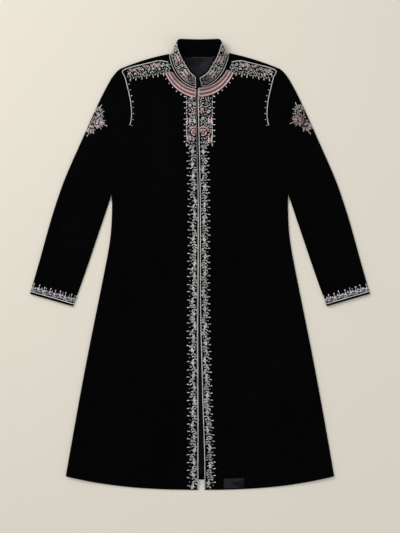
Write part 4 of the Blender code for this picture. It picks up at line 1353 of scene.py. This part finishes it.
def nearestOnFold(line, hand, point):
    # how far outside a fold's line a point is, and which way is out
    best = None
    for a, b in zip(line, line[1:]):
        along = b - a
        if -0.001 <= (point - a).dot(along) / along.length_squared <= 1.001:
            outward = Vector((-along.y, along.x)).normalized() * hand
            off = (point - a).dot(outward)
            if best is None or abs(off) < abs(best[0]):
                best = (off, outward)
    return best


def layOnSleeve(side, origin, first, second):
    # a plan in a frame of its own to cloth, rolled down where it passes a fold of the sleeve
    flat = layFlat(side)
    start = folds["profile"][0][0]
    origin, first, second = Vector(origin), Vector(first).normalized(), Vector(second).normalized()

    def lay(u, v, lift):
        plan = origin + first * u + second * v
        for line, hand in foldLines:
            best = nearestOnFold(line, hand, plan)
            if best and -best[0] < start:
                off, outward = best
                inward, up, slope = overFold(start + off)
                place = plan - outward * (off + inward)
                tilt = outward * slope.x
                point = Vector((place.x, place.y, up)) + Vector((tilt.x, tilt.y, slope.y)) * lift
                return Vector((side * point.x, point.y, max(point.z, folds["lowest"])))
        return flat(plan.x, plan.y, lift)
    return lay


medallion = {
    "fold": (0.2935, 0.3955), "up": (-0.411, 0.912), "inward": (-0.912, -0.411),
    "left": {"shift": (9.0, 4.0), "seed": 29, "fillSeed": 61, "least": 0.48, "dull": 0.95,
             "petals": ("rose",)},
    "right": {"shift": (0.0, 0.0), "seed": 31, "fillSeed": 67, "least": 0.06, "dull": 0.7,
              "petals": ("dusk", "rose")},
    # the blossom's place, its petals' lengths and width, its knot, and the room that it keeps clear
    "blossom": (0.4, 9.0), "petalLengths": (8.6, 6.88, 9.89, 7.31, 8.17), "petalWidth": 5.6,
    "knot": (3.0, 3.0, 1.7), "keptClear": 9.0,
    # root, heading, reach, threads, leaves, spread and leaf width of each fan
    "fans": (((14.0, 11.0), 0.0, 31.0, ("silver", "sage", "silver"), 7, 1.0, 3.6),
             ((-2.0, 14.0), quarterTurn, 34.0, ("dusk", "silver", "dusk", "cool"), 9, 1.05, 4.0),
             ((-15.0, 9.0), math.pi, 35.0, ("dusk", "silver", "cool"), 7, 0.95, 3.8)),
}


def planMedallion(word):
    # a red blossom by the fold with three fans round it: up the sleeve, inward and down
    look = medallion[word]
    plan = newPlan(look["seed"], look["dull"], look["least"])

    def spot(u, v):
        return Vector((u + look["shift"][0], v + look["shift"][1])) * mm

    middleU, middleV = medallion["blossom"]
    at = spot(middleU, middleV)
    for k, length in enumerate(medallion["petalLengths"]):
        thread = look["petals"][k % len(look["petals"])]
        putOff(plan, "petal", thread, at, 1.0, 0.35 + wholeTurn * k / 5, length, medallion["petalWidth"])
    putMiddle(plan, "bead", "deep", at, 0.0, *medallion["knot"])
    for root, heading, *rest in medallion["fans"]:
        fan(plan, spot(*root), heading, *rest)
    for angle in (0.72, 2.42):
        leafPairs(plan, away(at, angle, medallion["keptClear"] * mm), angle)
    spots = [tuple(spot(u, v)) for u, v in gridSpots(-38.0, 34.0, -3.0, 38.0, 3.1)
             if 6.0 < v + 0.55 * abs(u) < 38.0
             and math.hypot(u - middleU, v - middleV) > medallion["keptClear"]]
    fillGaps(plan, spots, lambda x, y: math.atan2(y - at.y, x - at.x), look["fillSeed"], 6.0, 3.0,
             ("dusk", "cool"), 3.0)
    return plan


cuff = {
    "inner": (0.3430, -0.1125), "outer": (0.4600, -0.0786), "vineUp": 13.2 * mm, "wave": 30.0 * mm,
    "sway": 1.5 * mm, "cordUp": 7.0 * mm, "over": 6.0 * mm, "cordOver": 4.6 * mm, "step": 15.0 * mm,
    "seed": {"left": 71, "right": 73},
    # least and greatest length of the tall leaves, of the spikes on them, and of the leaves beside them
    "tall": (9.5, 12.0), "spike": (7.5, 9.0), "beside": (8.0, 10.0),
    # length, width and height of a drop that stands alone, and the leaves that hang below the vine
    "loneDrop": (4.6, 2.8, 1.4), "underLeaf": (4.6, 2.6),
}
cuffWidth = math.dist(cuff["inner"], cuff["outer"])


def planCuff(word):
    # a vine above the cord, with leaves that stand up from it and a tall spike between each two groups
    plan = newPlan(cuff["seed"][word], 0.95)
    chance = plan["chance"]

    def vine(u):
        return Vector((u, cuff["vineUp"] + cuff["sway"] * math.sin(wholeTurn * u / cuff["wave"])))

    low, high = -cuff["over"], cuffWidth + cuff["over"]
    draw(plan, "cool", [vine(u) for u in stepsBetween(low, high, 66)], radius=0.9, shade=0.3)
    u = low + 3 * mm
    while u < high:
        root, middle = vine(u), vine(u + cuff["step"] / 2)
        stand = quarterTurn + chance.uniform(-0.12, 0.12)
        tall = chance.uniform(*cuff["tall"])
        putOff(plan, "leaf", "cool", root, 1.0, stand, tall, 3.9, height=1.4)
        putOff(plan, "drop", "silver", root, tall - 0.6, stand, chance.uniform(*cuff["spike"]), 3.4,
               height=1.5, shade=0.0)
        for hand, kind in ((-1.0, "leafLeft"), (1.0, "leafRight")):
            lean = quarterTurn + hand * chance.uniform(0.55, 0.8)
            putOff(plan, kind, "silver", root, 1.6, lean, chance.uniform(*cuff["beside"]), 3.5)
        stand = quarterTurn + chance.uniform(-0.25, 0.25)
        putOff(plan, "leaf", "cool", middle, 3.2, stand, chance.uniform(*cuff["spike"]), 3.6, height=1.4)
        if chance.random() < 0.5:
            putOff(plan, "drop", "silver", middle, 11.5, stand, *cuff["loneDrop"])
        for below, lean in ((root, 1.0), (middle, 1.0), (root, -1.0)):
            putOff(plan, "leaf", "cool", below, 0.8, -quarterTurn + lean, *cuff["underLeaf"])
        u += cuff["step"]
    return plan


# Collar.

collar = {
    # from the turn at the shoulder round to the front end: base x, y, z and top x, y, z, in millimetres
    "left": ((62.0, 566.3, 2.9, 51.8, 606.4, 21.0), (68.5, 567.7, 3.6, 55.0, 601.0, 28.5),
             (72.8, 565.6, 4.5, 54.6, 592.0, 34.5), (73.9, 560.9, 5.4, 50.8, 580.2, 38.0),
             (73.2, 555.6, 6.4, 46.4, 568.1, 39.5), (71.3, 548.3, 7.2, 42.0, 557.0, 38.5),
             (63.3, 526.6, 7.3, 33.1, 541.1, 35.5), (50.7, 507.8, 7.3, 25.8, 529.3, 35.5),
             (34.3, 493.4, 7.3, 18.4, 517.8, 38.5), (15.1, 484.4, 7.3, 8.3, 508.9, 41.0),
             (3.2, 484.0, 7.3, -2.5, 502.5, 41.0)),
    "right": ((66.5, 566.3, 2.9, 55.6, 606.4, 21.0), (73.4, 567.7, 3.6, 59.2, 601.0, 28.5),
              (78.2, 565.4, 4.5, 59.2, 592.0, 34.5), (79.6, 560.4, 5.4, 55.6, 580.0, 38.0),
              (79.0, 554.5, 6.4, 51.2, 567.5, 39.5), (76.8, 546.0, 7.2, 46.5, 556.0, 38.5),
              (68.8, 524.3, 7.3, 37.6, 540.1, 35.5), (56.2, 505.5, 7.3, 30.3, 528.3, 35.5),
              (39.8, 491.1, 7.3, 22.9, 516.8, 38.5), (20.6, 482.1, 7.3, 12.8, 507.9, 41.0),
              (8.5, 479.4, 7.3, 9.5, 502.5, 41.0)),
    "steps": 3, "bow": 1.2 * mm, "uprightAt": 25 * mm, "face": 1.95 * mm, "trimLift": 0.8 * mm,
    "height": 44.0, "middle": 25.0, "seed": {"left": 91, "right": 97},
    "fillSeed": {"left": 101, "right": 103}, "dull": {"left": 0.55, "right": 0.75},
    # how far along and up, size and thread of the blossoms at the front end
    "blossoms": ((9.0, 19.0, 4.4, "sand"), (11.0, 30.5, 4.2, "dusk"), (19.5, 24.0, 4.6, "dusk")),
    # where the petals start, and how much of the length a pair of petals and a scroll take
    "petalsFrom": 27.0 * mm, "petalStep": 28.0 * mm, "scrollStep": 17.0 * mm,
    "petal": (27.0, 7.4, 1.5, 0.2), "leaf": (7.5, 3.1), "scrollLeaf": (6.4, 3.2),
}
collarTree = treeOf("collar_band")


def collarHalf(word):
    # from the front end back to the turn: base, bowed middle, top and the way out, at each station
    side, steps = sides[word], collar["steps"]
    bases = splinePoints([Vector((side * r[0], r[1], r[2])) * mm for r in collar[word]], steps)
    tops = splinePoints([Vector((side * r[3], r[4], r[5])) * mm for r in collar[word]], steps)
    pairs = list(zip(bases, tops))[::-1]
    half = []
    for k, (base, top) in enumerate(pairs[:-steps]):
        before, after = pairs[max(k - 1, 0)], pairs[k + 1]
        out = ((after[0] + after[1]) - (before[0] + before[1])).cross(top - base).normalized() * side
        upright = min(1.0, (top.z - base.z) / collar["uprightAt"])
        half.append((base, base.lerp(top, 0.5) + out * collar["bow"] * upright, top, out))
    return half


def layCollar(word):
    half = collarHalf(word)
    marks = lengthMarks([station[1] for station in half])

    def lay(s, v, lift):
        k = stretchAt(marks, s)
        t = min(max((s - marks[k]) / (marks[k + 1] - marks[k]), 0.0), 1.0)
        base, middle, top, out = (a.lerp(b, t) for a, b in zip(half[k], half[k + 1]))
        share = 2.0 * v / (collar["height"] * mm)
        point = base.lerp(middle, share) if share < 1.0 else middle.lerp(top, share - 1.0)
        out = out.normalized()
        return collarTree.find_nearest(point + out * collar["face"])[0] + out * lift
    return lay, marks[-1]


def planCollar(word, length):
    # from the front end: small blossoms, then pairs of long petals with scrolls between
    plan = newPlan(collar["seed"][word], collar["dull"][word])
    chance = plan["chance"]

    def spot(s, up):
        return s, (collar["middle"] + up) * mm

    low = [Vector((s, 8.6 * mm)) for s in stepsBetween(4.0 * mm, length - 2.0 * mm, 60)]
    draw(plan, "silver", low, radius=0.9, shade=0.3)
    for s, v, size, thread in collar["blossoms"]:
        bloom(plan, (s * mm, v * mm), size, thread, "deep", chance.random())
    s = collar["petalsFrom"]
    k = 0
    while s < length - 12 * mm:
        if k % 2 == 0:
            for up, thread in ((5.6, "pale"), (-5.6, "dusk")):
                put(plan, "leaf", thread, spot(s, up), chance.uniform(-0.05, 0.05), *collar["petal"])
            for up in (-12.5, 12.5):
                for step in (3.0, 12.0, 21.0):
                    turn = chance.uniform(-0.5, 0.5)
                    put(plan, "leaf", "silver", spot(s + step * mm, up), turn, *collar["leaf"])
            s += collar["petalStep"]
        else:
            for hand in (1.0, -1.0):
                eye = spot(s + 8.0 * mm, hand * 7.0)
                line = curl(eye, quarterTurn * hand + 0.5, turns=1.35, outer=5.2, inner=1.6, hand=hand)
                draw(plan, "silver", line, radius=1.25, shade=0.1)
                for lean in (0.4, 1.2, 2.4):
                    putOff(plan, "leaf", "silver", eye, 6.6, hand * lean, *collar["scrollLeaf"])
            s += collar["scrollStep"]
        k += 1
    spots = gridSpots(4.5 * mm, length - 2.0 * mm, 12.5 * mm, (collar["height"] - 6.0) * mm, 3.1 * mm)
    fillGaps(plan, spots, lambda x, y: 0.4, collar["fillSeed"][word], 6.2, 3.0, ("dusk", "sage"))
    return plan


def collarCordRoute(word):
    # along the top from the turn to the front end, down the end and back along the base
    half = collarHalf(word)
    lift = collar["face"] + collar["trimLift"] + cord["radius"]
    inEnd = (half[1][1] - half[0][1]).normalized() * 1.5 * mm
    top = [middle.lerp(high, 0.90) + out * lift for base, middle, high, out in half]
    low = [middle.lerp(base, 0.90) + out * lift for base, middle, high, out in half]
    turn = half[0][1] + half[0][3] * lift
    ends = [point + inEnd for point in (top[0], turn, low[0])]
    return splinePoints(top[:0:-1] + ends + low[1:], 2)


# Everything that is sewn on, side by side.

for word, side in sides.items():
    flat = layFlat(side)
    layPlate("braid_ground_" + word, "neck_braid_" + word, threads["ground"], "thinEdge")
    onBraid = layFlat(side, treeOf("neck_braid_" + word), 0.0, braid["level"])
    sewPlan("braid_threads", word, planRing(word), onBraid)
    sewPlan("embroidery_neck_picots", word, planRingPicots(word), flat)
    sewPlan("embroidery_front_band", word, planFrontBand(word), flat)
    sewPlan("embroidery_breast", word, planBreast(word), flat)
    sewPlan("embroidery_shoulder", word, planShoulder(word), flat)
    sewPlan("embroidery_armhole", word, planArmhole(word), flat)
    onSleeve = layOnSleeve(side, medallion["fold"], medallion["up"], medallion["inward"])
    sewPlan("embroidery_medallion", word, planMedallion(word), onSleeve)
    across = Vector(cuff["outer"]) - Vector(cuff["inner"])
    onCuff = layOnSleeve(side, cuff["inner"], across, (-across.y, across.x))
    sewPlan("embroidery_cuff", word, planCuff(word), onCuff)
    reach = stepsBetween(-cuff["cordOver"], cuffWidth + cuff["cordOver"], 90)
    twistCord("cuff", word, [onCuff(u, cuff["cordUp"], cordLift) for u in reach])
    onCollar, length = layCollar(word)
    sewPlan("embroidery_collar", word, planCollar(word, length), onCollar)
    twistCord("collar", word, collarCordRoute(word), "silver", 0.9, 0.12)
print("embroidery sewn")
